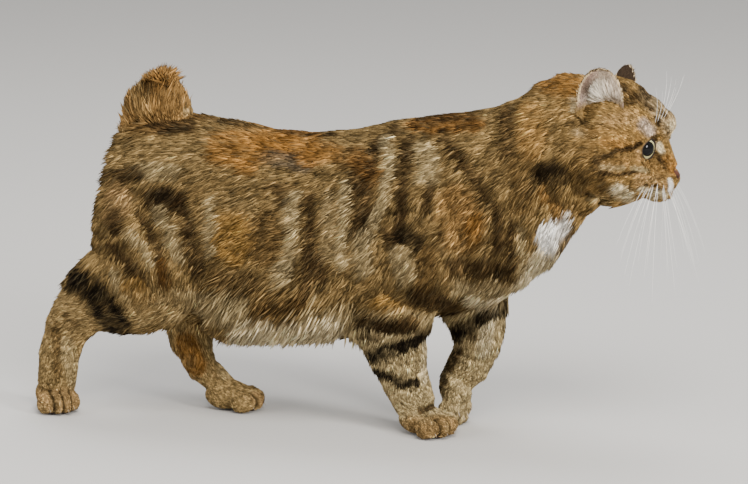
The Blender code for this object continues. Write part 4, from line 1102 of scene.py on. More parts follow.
def coat_colour(points):
    """The markings' colour at points of the coat, with flecks over it and painted shade in the clefts
    between the toes.
    """
    shares, _ = regions(points)
    shift = noise(points, 0.006, 3)
    wander = np.zeros((len(points), 2))
    for size, channel, reach in WANDER:
        wander += np.stack([noise(points, size, channel + k) for k in (0, 1)], axis=1) * reach
    trunk_places = picture_places(folded(points, -1.0)) + wander
    head_points = moved(folded(to_head(points), -1.0), head_matrix())
    head_places = picture_places(head_points) + wander * HEAD_WANDER
    own_places = picture_places(points) + wander * LEG_WANDER
    colour = painted(trunk_places, GROUNDS["trunk"], TRUNK_MARKS, shift) * shares["trunk"][:, None]
    head_colour = painted(head_places, GROUNDS["head"], HEAD_MARKS, shift, HEAD_SOFTNESS)
    colour += head_colour * shares["head"][:, None]
    colour += painted(trunk_places, GROUNDS["tail"], TAIL_MARKS, shift) * shares["tail"][:, None]
    for leg, marks in LEG_MARKS.items():
        own = painted(own_places, GROUNDS[leg], marks, shift)
        # Painted shade in the clefts between the toes
        own = own * (1.0 - CLEFT_SHADE * cleft_share(points, leg))[:, None]
        colour += own * shares[leg][:, None]
    streak = points - LIE_WAY * (LIE_STRETCH * (points @ LIE_WAY))[:, None]
    short = np.clip(shares["head"] + sum(shares[leg] for leg in LEGS), 0.0, 1.0)
    fleck = (mixed_noise(streak, LONG_FLECK) * (1.0 - short)
             + mixed_noise(points, SHORT_FLECK) * SHORT_FLECK_GAIN * short)
    bright = np.clip(colour.mean(axis=1) / FLECK_BRIGHT, 0.0, 1.0)
    return colour * np.exp(fleck * (1.0 - FLECK_CALM * bright ** 2))[:, None]


def paleness(colours):
    """0 for black hair to 1 for white: the square of the mean tone over PALE_TONE."""
    return np.clip(colours.mean(axis=1) / PALE_TONE, 0.0, 1.0) ** 2


# Pieces


def dressed(name, mesh, material, colours, patches=None):
    """A piece in the scene from a mesh, made smooth and given its colours and patches."""
    mesh.polygons.foreach_set("use_smooth", np.ones(len(mesh.polygons), dtype=bool))
    if colours is not None:
        layer = mesh.color_attributes.new("coat_colour", "FLOAT_COLOR", "POINT")
        four = np.concatenate([colours, np.ones((len(colours), 1))], axis=1)
        layer.data.foreach_set("color", four.astype(np.float32).ravel())
    if patches is not None:
        layer = mesh.uv_layers.new(name="OFBake")
        layer.data.foreach_set("uv", patches.astype(np.float32).ravel())
    mesh.materials.append(material)
    return placed(name, mesh)


def new_piece(name, points, faces, material, colours=None, patches=None):
    """An object from arrays of points and equal faces, moved to the frame's middle."""
    mesh = bpy.data.meshes.new(name)
    mesh.vertices.add(len(points))
    mesh.vertices.foreach_set("co", (points + TO_FRAME).astype(np.float32).ravel())
    mesh.loops.add(faces.size)
    mesh.loops.foreach_set("vertex_index", faces.astype(np.int32).ravel())
    mesh.polygons.add(len(faces))
    mesh.polygons.foreach_set("loop_start", np.arange(0, faces.size, faces.shape[1], dtype=np.int32))
    mesh.update(calc_edges=True)
    return dressed(name, mesh, material, colours, patches)


def grids_piece(name, grids, material, colours=None):
    """One piece from several closed grids of points."""
    mesh = joined_mesh(grids)
    mesh.name = name
    set_points(mesh, points_of(mesh) + TO_FRAME)
    return dressed(name, mesh, material, colours)


def tube_grid(path, radii, sides=6):
    """Rings of sides points round a path, as one grid with closed ends."""
    ahead = unit(np.gradient(path, axis=0))
    side = unit(np.cross(ahead, np.array((0.13, 0.37, 0.92))))
    front = np.cross(ahead, side)
    turn = full_turn(sides)
    return (path[:, None] + (side[:, None] * np.cos(turn)[None, :, None]
                             + front[:, None] * np.sin(turn)[None, :, None]) * radii[:, None, None])


def finish(name, roughness, specular, colour=None):
    """A material that takes its colour from the piece's own attribute, or one plain colour."""
    made = bpy.data.materials.new(name)
    made.use_nodes = True
    nodes = made.node_tree.nodes
    shader = nodes["Principled BSDF"]
    shader.inputs["Roughness"].default_value = roughness
    shader.inputs["Specular IOR Level"].default_value = specular
    if colour is None:
        source = nodes.new("ShaderNodeAttribute")
        source.attribute_name = "coat_colour"
        made.node_tree.links.new(source.outputs["Color"], shader.inputs["Base Color"])
    else:
        shader.inputs["Base Color"].default_value = (*colour, 1.0)
    return made


def add_bump(material, scale, strength, distance):
    """Fine bump from noise over the piece's own coordinates."""
    nodes = material.node_tree.nodes
    links = material.node_tree.links
    place = nodes.new("ShaderNodeTexCoord")
    grain = nodes.new("ShaderNodeTexNoise")
    grain.inputs["Scale"].default_value = scale
    grain.inputs["Detail"].default_value = 4.0
    bump = nodes.new("ShaderNodeBump")
    bump.inputs["Strength"].default_value = strength
    bump.inputs["Distance"].default_value = distance
    links.new(place.outputs["Object"], grain.inputs["Vector"])
    links.new(grain.outputs["Fac"], bump.inputs["Height"])
    links.new(bump.outputs["Normal"], nodes["Principled BSDF"].inputs["Normal"])


def triangles_of(mesh):
    mesh.calc_loop_triangles()
    flat = np.empty(len(mesh.loop_triangles) * 3, dtype=np.int32)
    mesh.loop_triangles.foreach_get("vertices", flat)
    return flat.reshape(-1, 3)


def sole_place(points, leg):
    """Height of points over a paw's sole, and whether they are within the sole's reach."""
    local = moved(points, paw_matrix(leg).inverted())
    return local[:, 2], np.hypot(local[:, 0], local[:, 1]) < SOLE_REACH


def skin_colour(points):
    """The coat's colour, darkened as painted shade under the hair, with lips and the bare dark pads under
    each paw.
    """
    colours = coat_colour(points)
    # Painted shade: the skin under the coat darker than the hair
    colours = colours * (ROOT_SHADE + ROOT_PALE * paleness(colours))[:, None]
    gap = line_distance(folded(to_head(points)), MOUTH_LINE)
    share = np.exp(-(gap / LIP_COLOUR_WIDTH) ** 2)[:, None]
    colours = colours * (1.0 - share) + np.array(LIP_COLOUR) * share
    for leg in PAWS:
        height, near = sole_place(points, leg)
        colours = blended(colours, np.array(COLOURS["pad"]), smooth_step(*SOLE_FADE, height) * near)
    return colours


def build_skin(material):
    """Body, head and paws, each melted from its forms, made one closed skin."""
    forms = [trunk_form(TRUNK_DEPTH), ball_form(*CHEST, TRUNK_DEPTH)]
    for ball in (THIGH, SHOULDER):
        form = ball_form(*ball, SWELL_DEPTH)
        forms += [form, mirrored(form)]
    forms.append(ball_form(*HAUNCH))
    forms.append(path_form(TAIL, TAIL_DEPTH))
    forms += [path_form(eased(path[:-1], -1), LEG_DEPTH) for path in LEGS.values()]
    skin = melted("skin", forms, BODY_VOXEL, BODY_SMOOTHING)
    neck = trunk_form(TRUNK_DEPTH, NECK_SECTIONS)
    head = melted("head_skin", head_forms() + [neck], HEAD_VOXEL, HEAD_SMOOTHING)
    sculpt_head(head.data)
    parts = [head]
    for leg, path in LEGS.items():
        palm = tuple(paw_matrix(leg) @ Vector(PALM_STOP)) + (PALM_HALF, PALM_HALF)
        forms = paw_forms(leg, PAW_DEPTH) + [path_form(eased(path[-3:], 0) + (palm,), LEG_DEPTH)]
        paw = melted(leg + "_paw", forms, PAW_VOXEL, PAW_SMOOTHING)
        sculpt_paw(paw.data, leg)
        parts.append(paw)
    for part in parts:
        union = skin.modifiers.new("Union", "BOOLEAN")
        union.operation = "UNION"
        union.object = part
        union.solver = "MANIFOLD"
        applied(skin)
        bpy.data.objects.remove(part)
    flat = points_of(skin.data)
    flat[:, 2] = np.maximum(flat[:, 2], FLOOR_GAP)
    set_points(skin.data, flat)
    triangles = triangles_of(skin.data)
    bpy.data.objects.remove(skin)
    return new_piece("skin", flat, triangles, material, skin_colour(flat)), flat, triangles


# Lie of the hair


def guided(points, guides):
    """Direction, length, width and lift by inverse distance from the guides, both sides alike."""
    places = np.array([guide[0] for guide in guides])
    values = np.array([(*guide[1], *guide[2:]) for guide in guides])
    distance = np.linalg.norm(folded(points)[:, None] - places[None], axis=2)
    weights = 1.0 / (distance ** 2 + 1e-5) ** 2
    weights /= weights.sum(axis=1, keepdims=True)
    mixed = weights @ values
    mixed[:, 1] *= np.tanh(points[:, 1] / MIDDLE_PARTING)
    return mixed


def tail_hair(points):
    """Hair of the tail: outwards and up all round, shorter and flatter in front."""
    _, _, ahead, foot = near_path(points, TAIL)
    out = unit(points - foot)
    front = smooth_step(*TAIL_FRONT, out[:, 0])
    way = ahead + out * (0.75 - 0.60 * front)[:, None] + np.array((-0.1, 0.0, 0.2))
    return np.column_stack([way, TAIL_HAIR * (1.0 - 0.45 * front),
                            np.full(len(points), TAIL_WIDTH), np.full(len(points), TAIL_LIFT)])


def leg_hair(points, leg, along, ahead):
    """Hair of a leg: down along it, and along the toes on the paw."""
    toes = np.array(paw_matrix(leg))[:3, 0]
    at_paw = smooth_step(PAW_HEIGHT, PAW_HEIGHT * 0.55, points[:, 2])[:, None]
    way = ahead * (1.0 - at_paw) + (toes + np.array((0.0, 0.0, -0.35))) * at_paw
    way = way + np.array((-0.25, 0.0, 0.0)) * (1.0 - at_paw)
    low = smooth_step(0.3, 1.0, along)[:, None]
    upper, lower = (np.array((LEG_HAIR[k], LEG_WIDTH[k], LEG_LIFT[k])) for k in (0, 1))
    sizes = upper * (1.0 - low) + lower * low
    sizes[:, 0] *= 1.0 - 0.35 * at_paw[:, 0]
    return np.column_stack([way, sizes])


def hair(points):
    """Direction, length, width and lift of the hair at points of the skin."""
    shares, measures = regions(points)
    total = guided(points, TRUNK_LIE) * shares["trunk"][:, None]
    head = guided(to_head(points), HEAD_LIE)
    head[:, :3] = head[:, :3] @ np.array(head_matrix())[:3, :3].T
    total += head * shares["head"][:, None]
    total += tail_hair(points) * shares["tail"][:, None]
    for leg, (_, along, ahead, _) in measures.items():
        total += leg_hair(points, leg, along, ahead) * shares[leg][:, None]
    return total


def scattered(points, triangles, thickness):
    """Random places on a mesh: thickness gives the count for each unit of area at each triangle."""
    a, b, c = (points[triangles[:, k]] for k in range(3))
    cross = np.cross(b - a, c - a)
    area = np.linalg.norm(cross, axis=1) / 2
    wanted = area * thickness
    count = int(wanted.sum())
    chosen = random.choice(len(triangles), count, p=wanted / wanted.sum())
    u, v = random.random((2, count))
    flip = u + v > 1.0
    u[flip], v[flip] = 1.0 - u[flip], 1.0 - v[flip]
    place = a[chosen] + (b - a)[chosen] * u[:, None] + (c - a)[chosen] * v[:, None]
    return place, unit(cross[chosen])


def in_chunks(work, points, size=40000):
    """The work's arrays for points, worked out a part at a time."""
    return np.concatenate([work(points[k:k + size]) for k in range(0, len(points), size)])


def unwrap_places(points, shares):
    """Places on the unwrapped skin, along each part's axis and round it, and the part's name."""
    names = list(shares)
    best = np.argmax(np.stack([shares[name] for name in names]), axis=0)
    places = np.zeros((len(points), 2))
    for k, name in enumerate(names):
        mine = best == k
        if not mine.any():
            continue
        own = points[mine]
        if name == "trunk":
            along = (own[:, 0] + 0.24) / 0.45
            round_way = np.arctan2(own[:, 1], own[:, 2] - 0.165)
        elif name == "head":
            local = to_head(own)
            along = (local[:, 0] + 0.06) / 0.12
            round_way = np.arctan2(local[:, 1], local[:, 2] + 0.01)
        else:
            _, share, _, foot = near_path(own, TAIL if name == "tail" else LEGS[name])
            off = own - foot
            along = share * 0.8 + 0.2 * smooth_step(0.03, 0.0, own[:, 2])
            round_way = np.arctan2(off[:, 1], off[:, 0] + off[:, 2] * 0.2)
        low_u, low_v, wide, high = ISLANDS[name]
        places[mine, 0] = low_u + wide * np.clip(along, 0.0, 1.0)
        places[mine, 1] = low_v + high * (round_way / math.tau + 0.5)
    return places, np.array(names)[best]


def clumped(tips, roots, size, pull):
    """Tips drawn to the middle of their clump's tips, and a tone for each clump.

    A clump is a cell of wandering space.
    """
    wander = np.stack([noise(roots, CLUMP_WANDER, k) for k in range(3)], axis=1) * size[:, None] * 0.7
    cell = np.floor((roots + wander) / size[:, None]).astype(np.int64) + CLUMP_CELLS // 2
    key = (cell[:, 0] * CLUMP_CELLS + cell[:, 1]) * CLUMP_CELLS + cell[:, 2]
    _, clump = np.unique(key, return_inverse=True)
    count = np.bincount(clump)
    middle = np.stack([np.bincount(clump, tips[:, k]) / count for k in range(3)], axis=1)
    tone = random.normal(0.0, 1.0, len(count))
    return tips + (middle[clump] - tips) * pull[:, None], tone[clump]


def tuft_arrays(root, bends, tip, side, up, widths, shades, places):
    """Closed tufts: a root point, one or two pairs of side points, and a tip.

    The top runs over the side points and the underside fans out from the root. Each bend is kept
    above the chord by a fifth of the tuft's width. Returns points, triangles, colours and patches.
    """
    pairs = len(bends)
    rows = [root]
    for k, (bend, width) in enumerate(zip(bends, widths)):
        share = (k + 1.0) / (pairs + 1.0)
        rise = np.sum((bend - root - (tip - root) * share) * up, axis=1)
        bend = bend + up * np.maximum(0.2 * width - rise, 0.0)[:, None]
        rows += [bend - side * (width / 2)[:, None], bend + side * (width / 2)[:, None]]
    rows.append(tip)
    points = np.stack(rows, axis=1)
    faces = TUFT_FACES[pairs]
    flat = [(0.5, 0.0)]
    for k in range(pairs):
        high = (k + 1.0) / (pairs + 1.0)
        flat += [(0.0, high), (1.0, high)]
    flat = np.array(flat + [(0.5, 1.0)])
    top = 2 * pairs
    patch = np.array([flat[list(face)] for face in faces])
    patch[:top, :, 0] *= 0.5
    patch[top:, :, 0] = 0.5 + 0.5 * patch[top:, :, 0]
    triangles = (np.arange(len(root))[:, None, None] * len(rows) + np.array(faces)[None]).reshape(-1, 3)
    patches = places[:, None, None, :] + (patch[None] - 0.5) * PATCH
    order = [0] + [1 + k for k in range(pairs) for _ in range(2)] + [pairs + 1]
    colours = np.stack([shades[k] for k in order], axis=1).reshape(-1, 3)
    return points.reshape(-1, 3), triangles, colours, patches.reshape(-1, 2)


def grow_tufts(root, normal, values, places, colour_of, clump=1.0):
    """Tufts from roots: flow and sizes in values, with yaw, length and tone varied at random, and painted
    shade towards each root.
    """
    count = len(root)
    flow = values[:, :3]
    flow = unit(flow - normal * np.sum(flow * normal, axis=1, keepdims=True))
    side = np.cross(normal, flow)
    swirl = mixed_noise(root, SWIRL) + random.normal(0.0, SWIRL_RANDOM, count)
    flow, side = (flow * np.cos(swirl)[:, None] + side * np.sin(swirl)[:, None],
                  side * np.cos(swirl)[:, None] - flow * np.sin(swirl)[:, None])
    length = values[:, 3] * random.uniform(*LENGTH_RANGE, count)
    length = length * (1.0 + LENGTH_WAVE * noise(root, 0.010, 2))
    width = values[:, 4] * random.uniform(*WIDTH_RANGE, count)
    lift = np.radians(values[:, 5]) * random.uniform(*LIFT_RANGE, count)
    flat = lift * OUTER_LIFT
    long = smooth_step(*DROOP_LENGTHS, length)
    droop = np.zeros((count, 3))
    droop[:, 2] = -DROOP * length * long
    past = 1.0 - BEND_AT
    tip = (root + flow * (length * (BEND_AT * np.cos(lift) + past * np.cos(flat)))[:, None]
           + normal * (length * (BEND_AT * np.sin(lift) + past * np.sin(flat)))[:, None] + droop)
    pull = clump * CLUMP_PULL * (0.35 + 0.65 * long)
    size = np.where(values[:, 3] > FINE_HAIR, CLUMP_SIZE, CLUMP_SIZE * FINE_CLUMP)
    tip, tone = clumped(tip, root, size, pull)
    bend = (root + flow * (BEND_AT * length * np.cos(lift))[:, None]
            + normal * (BEND_AT * length * np.sin(lift))[:, None] + droop * 0.2)
    bend += (tip - bend) * (0.12 * pull)[:, None]
    low = root - normal * ROOT_DEPTH
    up = unit(np.cross(flow, side))
    up *= np.sign(np.sum(up * normal, axis=1, keepdims=True))
    for part in (tip, bend, low):
        part[:, 2] = np.maximum(part[:, 2], TUFT_FLOOR)
    colour = in_chunks(colour_of, bend * 0.45 + tip * 0.55)
    ticking = random.random(count)
    bright = paleness(colour)
    calm = 1.0 - 0.75 * bright
    shade = np.exp((TUFT_TONE * random.normal(0.0, 1.0, count) + CLUMP_TONE * tone) * calm)
    colour = np.clip(colour * shade[:, None], 0.0, MOST_COLOUR)
    dark, pale, plain = TIP_SHADES
    end = np.where(ticking < TICKING[0], dark, np.where(ticking > TICKING[1], pale, plain))
    end = end + (1.1 - end) * 0.9 * bright
    end_colour = np.clip(colour * end[:, None], 0.0, MOST_COLOUR)
    ticked = ((ticking > TICKED_FROM) & (ticking < TICKING[1]) & (bright < TICKED_BELOW))[:, None]
    end_colour = np.where(ticked, end_colour * 0.4 + np.array(COLOURS["pale"]) * 0.5, end_colour)
    # Painted shade: each tuft's root darker than the hair, less so where it is white
    root_shade_colour = colour * (ROOT_SHADE + ROOT_PALE * bright)[:, None]
    is_long = values[:, 3] > LONG_HAIR
    first = low + (bend - low) * 0.62
    second = bend + (tip - bend) * 0.42 + normal * (0.05 * length)[:, None]
    # Colours from root to tip; on long tufts the lower side points are a little darker too, as painted
    # shade
    kinds = (
        (~is_long, [bend], [width], [root_shade_colour, colour, end_colour]),
        (is_long, [first, second], [width, width * 0.85], [root_shade_colour, colour * 0.9, colour, end_colour]),
    )
    pieces = []
    for chosen, *groups in kinds:
        if chosen.any():
            bends, widths, shades = ([row[chosen] for row in group] for group in groups)
            pieces.append((chosen, tuft_arrays(low[chosen], bends, tip[chosen], side[chosen], up[chosen],
                                               widths, shades, places[chosen])))
    return pieces


def make_coat(name, batches, material):
    """One coat piece from batches of tuft arrays."""
    starts = np.cumsum([0] + [len(batch[0]) for batch in batches])
    faces = np.concatenate([batch[1] + start for batch, start in zip(batches, starts)])
    points, colours, patches = (np.concatenate([batch[k] for batch in batches]) for k in (0, 2, 3))
    return new_piece(name, points, faces, material, colours, patches)


def thickness_at(points):
    """Tufts for each square metre of skin, none on eyes, nose, lips and soles."""
    shares, _ = regions(points)
    legs = sum(shares[leg] for leg in LEGS)
    total = (shares["trunk"] * DENSITY["trunk"] + shares["tail"] * DENSITY["tail"]
             + shares["head"] * DENSITY["head"] + legs * DENSITY["leg"])
    local = to_head(points)
    face = folded(local)
    total *= line_distance(face, MOUTH_LINE) > MOUTH_BARE
    off_nose = (face - np.array(NOSE_CENTRE)) / (np.array(NOSE_RADII) * NOSE_BARE)
    total *= np.linalg.norm(off_nose, axis=1) > 1.0
    for side in (1, -1):
        seen = moved(local, eye_matrix(side).inverted())
        close = np.linalg.norm(seen, axis=1) < EYE_RADIUS * EYE_BARE
        total *= ~(close & (almond(seen, side) < LID_BARE))
    for leg in PAWS:
        total *= 1.0 - CLEFT_BARE * cleft_share(points, leg)
        height, near = sole_place(points, leg)
        total *= ~((height < SOLE_BARE) & near)
    return total * CM2_PER_M2


def build_coat(points, triangles, materials):
    """The coat of the skin, in pieces by part of the body, each with its kind of hair."""
    thickness = in_chunks(thickness_at, points[triangles].mean(axis=1))
    root, normal = scattered(points, triangles, thickness)
    values = in_chunks(hair, root)
    share_rows = in_chunks(lambda part: np.stack(list(regions(part)[0].values()), axis=1), root)
    shares = {name: share_rows[:, k] for k, name in enumerate(regions(root[:2])[0])}
    places, region = unwrap_places(root, shares)
    side = np.where(root[:, 1] < 0.0, "right", "left")
    part = np.where(root[:, 0] < RUMP_END, "rump", np.where(root[:, 0] < FLANK_END, "flank", "shoulder"))
    part = np.where(root[:, 0] > SHOULDER_END, "neck", part)
    bins = np.char.add(np.char.add(part, "_"), side)
    bins = np.where(region == "head", np.char.add("head_", side), bins)
    bins = np.where(region == "tail", "tail", bins)
    for leg in LEGS:
        bins = np.where(region == leg, "leg_" + leg, bins)
    made = []
    for name in np.unique(bins):
        mine = bins == name
        batches = grow_tufts(root[mine], normal[mine], values[mine], places[mine], coat_colour)
        kind = "paw" if name.startswith("leg") else "body"
        made.append((make_coat("coat_" + name, [batch for _, batch in batches], materials[kind]), kind))
    return made


# Ears


def ear_grid(shape):
    """Rings round a thin cup: an outer arc and an inner arc on each row, up to a round tip."""
    base, tip_way, open_way = (np.array(part) for part in shape)
    up = unit(tip_way)
    out = unit(open_way - up * (open_way @ up))
    wide = np.cross(up, out)
    rise = EAR_ROOT + (1.0 - EAR_ROOT) * np.linspace(0.0, 1.0, EAR_ROWS)[:, None]
    above = np.maximum(rise, 0.0)
    half = EAR_HALF_WIDTH * np.sqrt(np.maximum(1.0 - above ** EAR_FULLNESS, 0.0025))
    half = half * (1.0 + 1.6 * np.minimum(rise, 0.0))
    hollow = EAR_DEPTH * (1.0 - 0.62 * above)
    turn = EAR_ARC * np.linspace(-1.0, 1.0, EAR_COLUMNS)[None, :]
    across = half * np.sin(turn) / math.sin(EAR_ARC)
    deep = hollow * (np.cos(turn) - math.cos(EAR_ARC)) / (1.0 - math.cos(EAR_ARC))
    deep = deep * np.minimum(half / EAR_HALF_WIDTH * 1.3, 1.0)
    outer = (base + up * (EAR_HEIGHT * rise)[..., None] + wide * across[..., None] - out * deep[..., None])
    wall = EAR_WALL * (1.0 - 0.85 * (np.abs(turn) / EAR_ARC) ** 8)
    wall = wall * np.minimum(half / EAR_HALF_WIDTH * 2.0, 1.0)
    inner = outer + (out * np.cos(turn)[..., None] - wide * np.sin(turn)[..., None]) * wall[..., None]
    return np.concatenate([outer[:, ::-1], inner], axis=1), up, out, wide


def soft_spot(forward, height, spot):
    """A share of 1 in a spot's middle, falling off all round by its two sizes."""
    middle, level, wide, high = spot
    return np.exp(-((forward - middle) / wide) ** 2 - ((height - level) / high) ** 2)


def ear_hair_colour(root, within, forward, height, low):
    """Dark outside; inside tan to light towards the front, pale low down, with painted shade in the
    hollow.
    """
    tones = {name: np.array(colour) for name, colour in EAR_COLOURS.items()}
    dark = tones["dark"]
    edge = smooth_step(0.80, 0.95, forward ** 2 + np.clip(height, 0.0, 1.0) ** EAR_FULLNESS)
    inner = blended(tones["tan"], tones["light"], smooth_step(-0.6, 0.1, forward))
    inner = blended(inner, tones["pale"], soft_spot(forward, height, EAR_BRIGHT))
    # Painted shade deep in the cup's hollow
    inner = blended(inner, dark, 0.9 * soft_spot(forward, height, EAR_HOLLOW_SHADE))
    outer = dark * (1.0 + 0.8 * smooth_step(0.5, 0.0, height))[:, None]
    colour = blended(np.where(within[:, None], inner, outer), tones["rim"], edge * within * 0.85)
    return blended(colour, coat_colour(root), low)


def build_ear(side_name, materials):
    """An ear's cup with short hair outside and long pale hair inside."""
    ring, up, out, wide = ear_grid(EARS[side_name])
    turn = np.array(head_matrix())[:3, :3]
    up, out, wide = turn @ up, turn @ out, turn @ wide
    world = moved(ring.reshape(-1, 3), head_matrix())
    inside = np.tile(np.repeat((0.0, 1.0), EAR_COLUMNS), EAR_ROWS)
    shade = 0.85 + 0.3 * noise(world, 0.006, 1)
    back_skin, inner_skin = (np.array(EAR_COLOURS[name]) for name in ("back skin", "inner skin"))
    colours = blended(back_skin, inner_skin, inside) * shade[:, None]
    base = moved(np.array(EARS[side_name][0])[None], head_matrix())[0]
    root_share = smooth_step(0.25, 0.05, ((world - base) @ up) / EAR_HEIGHT)
    colours = blended(colours, coat_colour(world) * 0.7, root_share)
    piece = grids_piece("ear_cup_" + side_name, [world.reshape(ring.shape)], materials["ear"], colours)
    triangles = triangles_of(piece.data)
    root, normal = scattered(world, triangles, np.full(len(triangles), DENSITY["ear"] * CM2_PER_M2))
    height = ((root - base) @ up) / EAR_HEIGHT
    keep = height > EAR_HAIR_FOOT
    root, normal, height = root[keep], normal[keep], height[keep]
    count = len(root)
    within = normal @ out > 0.1
    forward = (root - base) @ wide / EAR_HALF_WIDTH
    forward = forward * np.sign(wide[0])
    long_share = np.where(within, smooth_step(-0.6, 0.3, forward) * smooth_step(0.85, 0.3, height), 0.0)
    long_share = long_share * smooth_step(1.0, 0.70, np.abs(forward)) * smooth_step(0.02, 0.14, height)
    lean = EAR_LEAN * long_share
    flow = np.tile(up, (count, 1)) + out * lean[:, None] - wide * (np.sign(wide[0]) * lean)[:, None]
    low = smooth_step(0.26, 0.06, height)
    flow = flow * (1.0 - low)[:, None] + turn @ np.array((-1.0, 0.0, -0.2)) * low[:, None]
    inner_length = EAR_INNER_HAIR[0] + EAR_INNER_HAIR[1] * long_share
    length = np.where(within, inner_length, EAR_BACK_HAIR) * random.uniform(0.8, 1.15, count)
    length = length * (1.0 - 0.25 * low)
    lift = np.where(within, EAR_INNER_LIFT[0] + EAR_INNER_LIFT[1] * long_share, EAR_BACK_LIFT)
    values = np.column_stack([flow, length, np.full(count, EAR_HAIR_WIDTH), lift])
    colour = ear_hair_colour(root, within, forward, height, low)
    low_u, low_v, _, high_v = ISLANDS["ear"]
    low_u = low_u + (0.16 if side_name == "left" else 0.0)
    places = np.column_stack([low_u + 0.13 * np.clip(forward * 0.25 + 0.25 + 0.5 * within, 0, 1),
                              low_v + high_v * np.clip(height, 0, 1)])
    batches = grow_tufts(root, normal, values, places, np.zeros_like, EAR_CLUMP)
    arrays = []
    for chosen, (tuft_points, faces, _, patches) in batches:
        own = colour[chosen] * random.uniform(0.8, 1.2, (chosen.sum(), 1))
        # Painted shade along each tuft: darkest at the root, lightest at the tip
        rise = np.linspace(0.65, 1.15, len(tuft_points) // chosen.sum())
        shades = (own[:, None, :] * rise[None, :, None]).reshape(-1, 3)
        arrays.append((tuft_points, faces, np.clip(shades, 0.0, MOST_COLOUR), patches))
    return piece, make_coat("coat_ear_" + side_name, arrays, materials["body"])


# Eyes, nose, whiskers and claws


def build_eye(name, side, material):
    """A ball with a bulging front; pupil, iris and dark rim by angle from the way it looks."""
    angles = np.linspace(math.pi - EYE_POLE_GAP, EYE_POLE_GAP, EYE_ROWS)
    angle = angles[:, None]
    turn = full_turn(EYE_SIDES)[None, :]
    radius = EYE_RADIUS + CORNEA_BULGE * np.exp(-(angle / CORNEA_ANGLE) ** 4)
    shell = np.roll(globe(angles, EYE_SIDES), 1, axis=-1) * radius[..., None]
    place = head_matrix() @ eye_matrix(side) @ Matrix.Rotation(-GAZE_TURN, 4, "Z")
    place = place @ Matrix.Rotation(-GAZE_RISE, 4, "Y")
    spokes = 0.85 + 0.15 * np.sin(turn * 41.0 + 3.0 * np.sin(turn * 7.0)) * np.ones_like(angle)
    share = (angle - PUPIL_ANGLE) / (IRIS_ANGLE - PUPIL_ANGLE) * np.ones_like(turn)
    inner = np.array(IRIS_INNER)
    outer = np.array(IRIS_OUTER)
    colour = inner + (outer - inner) * np.clip(share, 0, 1)[..., None]
    colour = colour * spokes[..., None]
    pupil = smooth_step(0.04, -0.04, share)[..., None]
    rim = smooth_step(0.86, 1.02, share)[..., None]
    colour = colour * (1.0 - pupil) + np.array(PUPIL_COLOUR) * pupil
    colour = colour * (1.0 - rim) + np.array(EYE_RIM_COLOUR) * rim
    return grids_piece(name, [moved_form(shell, place)], material, colour.reshape(-1, 3))


def build_lid(name, side, material):
    """A closed ring round the eye: a loop of the almond, thick at the rim and sunk outside."""
    around = full_turn(LID_SIDES)[:, None]
    spread = np.array(LID_SPREAD)[None, :]
    along = LID_WIDE * np.cos(around) * spread
    across = LID_HIGH * np.sin(around) * (1.0 - LID_NARROWING * np.abs(np.cos(around))) * spread
    yaw = along * math.cos(LID_TILT) - across * math.sin(LID_TILT)
    pitch = across * math.cos(LID_TILT) + along * math.sin(LID_TILT)
    bulge = CORNEA_BULGE * np.exp(-(np.hypot(yaw, pitch) / CORNEA_ANGLE) ** 4)
    radius = EYE_RADIUS + np.array(LID_RISE)[None, :] + bulge
    points = np.stack([np.cos(pitch) * np.cos(yaw), np.cos(pitch) * np.sin(yaw) * side,
                       np.sin(pitch)], axis=-1) * radius[..., None]
    rows, columns = points.shape[:2]
    world = moved(points.reshape(-1, 3), head_matrix() @ eye_matrix(side))
    low = np.arange(rows * columns).reshape(rows, columns)
    high = np.roll(low, -1, axis=0)
    quads = np.stack([low, np.roll(low, -1, axis=1), np.roll(high, -1, axis=1), high], axis=-1)
    quads = quads.reshape(-1, 4) if side > 0 else quads.reshape(-1, 4)[:, ::-1]
    share = smooth_step(1.03, 1.13, spread * np.ones_like(around)).ravel()[:, None]
    colours = np.array(LID_COLOUR) * (1.0 - share) + coat_colour(world) * 0.7 * share
    return new_piece(name, world, quads, material, colours)


def build_nose(material):
    """A ball squeezed to a soft triangle, with a pit on each side and a groove below, both darkened as
    painted shade.
    """
    shell = globe(np.linspace(math.pi - NOSE_POLE_GAP, NOSE_POLE_GAP, NOSE_ROWS), NOSE_SIDES)
    shell[..., 1] *= 0.62 + 0.38 * smooth_step(-0.9, 0.5, shell[..., 2])
    flat = (np.array(NOSE_CENTRE) + shell * np.array(NOSE_RADII)).reshape(-1, 3)
    off = (folded(flat) - np.array(NOSTRIL)) / np.array(NOSTRIL_STRETCH)
    pit = np.exp(-(np.linalg.norm(off, axis=1) / NOSTRIL_SIZE) ** 2)
    groove = np.exp(-(flat[:, 1] / GROOVE_SIZE) ** 2) * smooth_step(*GROOVE_HEIGHTS, flat[:, 2])
    away = unit(flat - np.array(NOSE_CENTRE))
    flat = flat - away * (pit * NOSTRIL_DEPTH + groove * GROOVE_DEPTH)[:, None]
    colour = np.array(NOSE_COLOUR) * (0.9 + 0.2 * noise(flat, 0.002, 2))[:, None]
    # Painted shade: the nostril pits nearly black and the groove below darker
    colour = colour * (1.0 - 0.93 * pit ** 0.6)[:, None] * (1.0 - 0.4 * groove)[:, None]
    world = moved(flat, head_matrix()).reshape(shell.shape)
    return grids_piece("nose", [world], material, np.clip(colour, 0.0, 1.0))


def whisker(start, way, length, sag):
    """A thin tapered rod from the head. It sags by the square of the share along it."""
    share = np.linspace(0.0, 1.0, WHISKER_STATIONS)
    path = np.array(start) + unit(np.array(way)) * (length * share)[:, None]
    path -= np.array(sag) * length * (share ** 2)[:, None]
    radii = WHISKER_RADIUS * (1.0 - share) ** 0.7 + WHISKER_TIP
    return tube_grid(moved(path, head_matrix()), radii)


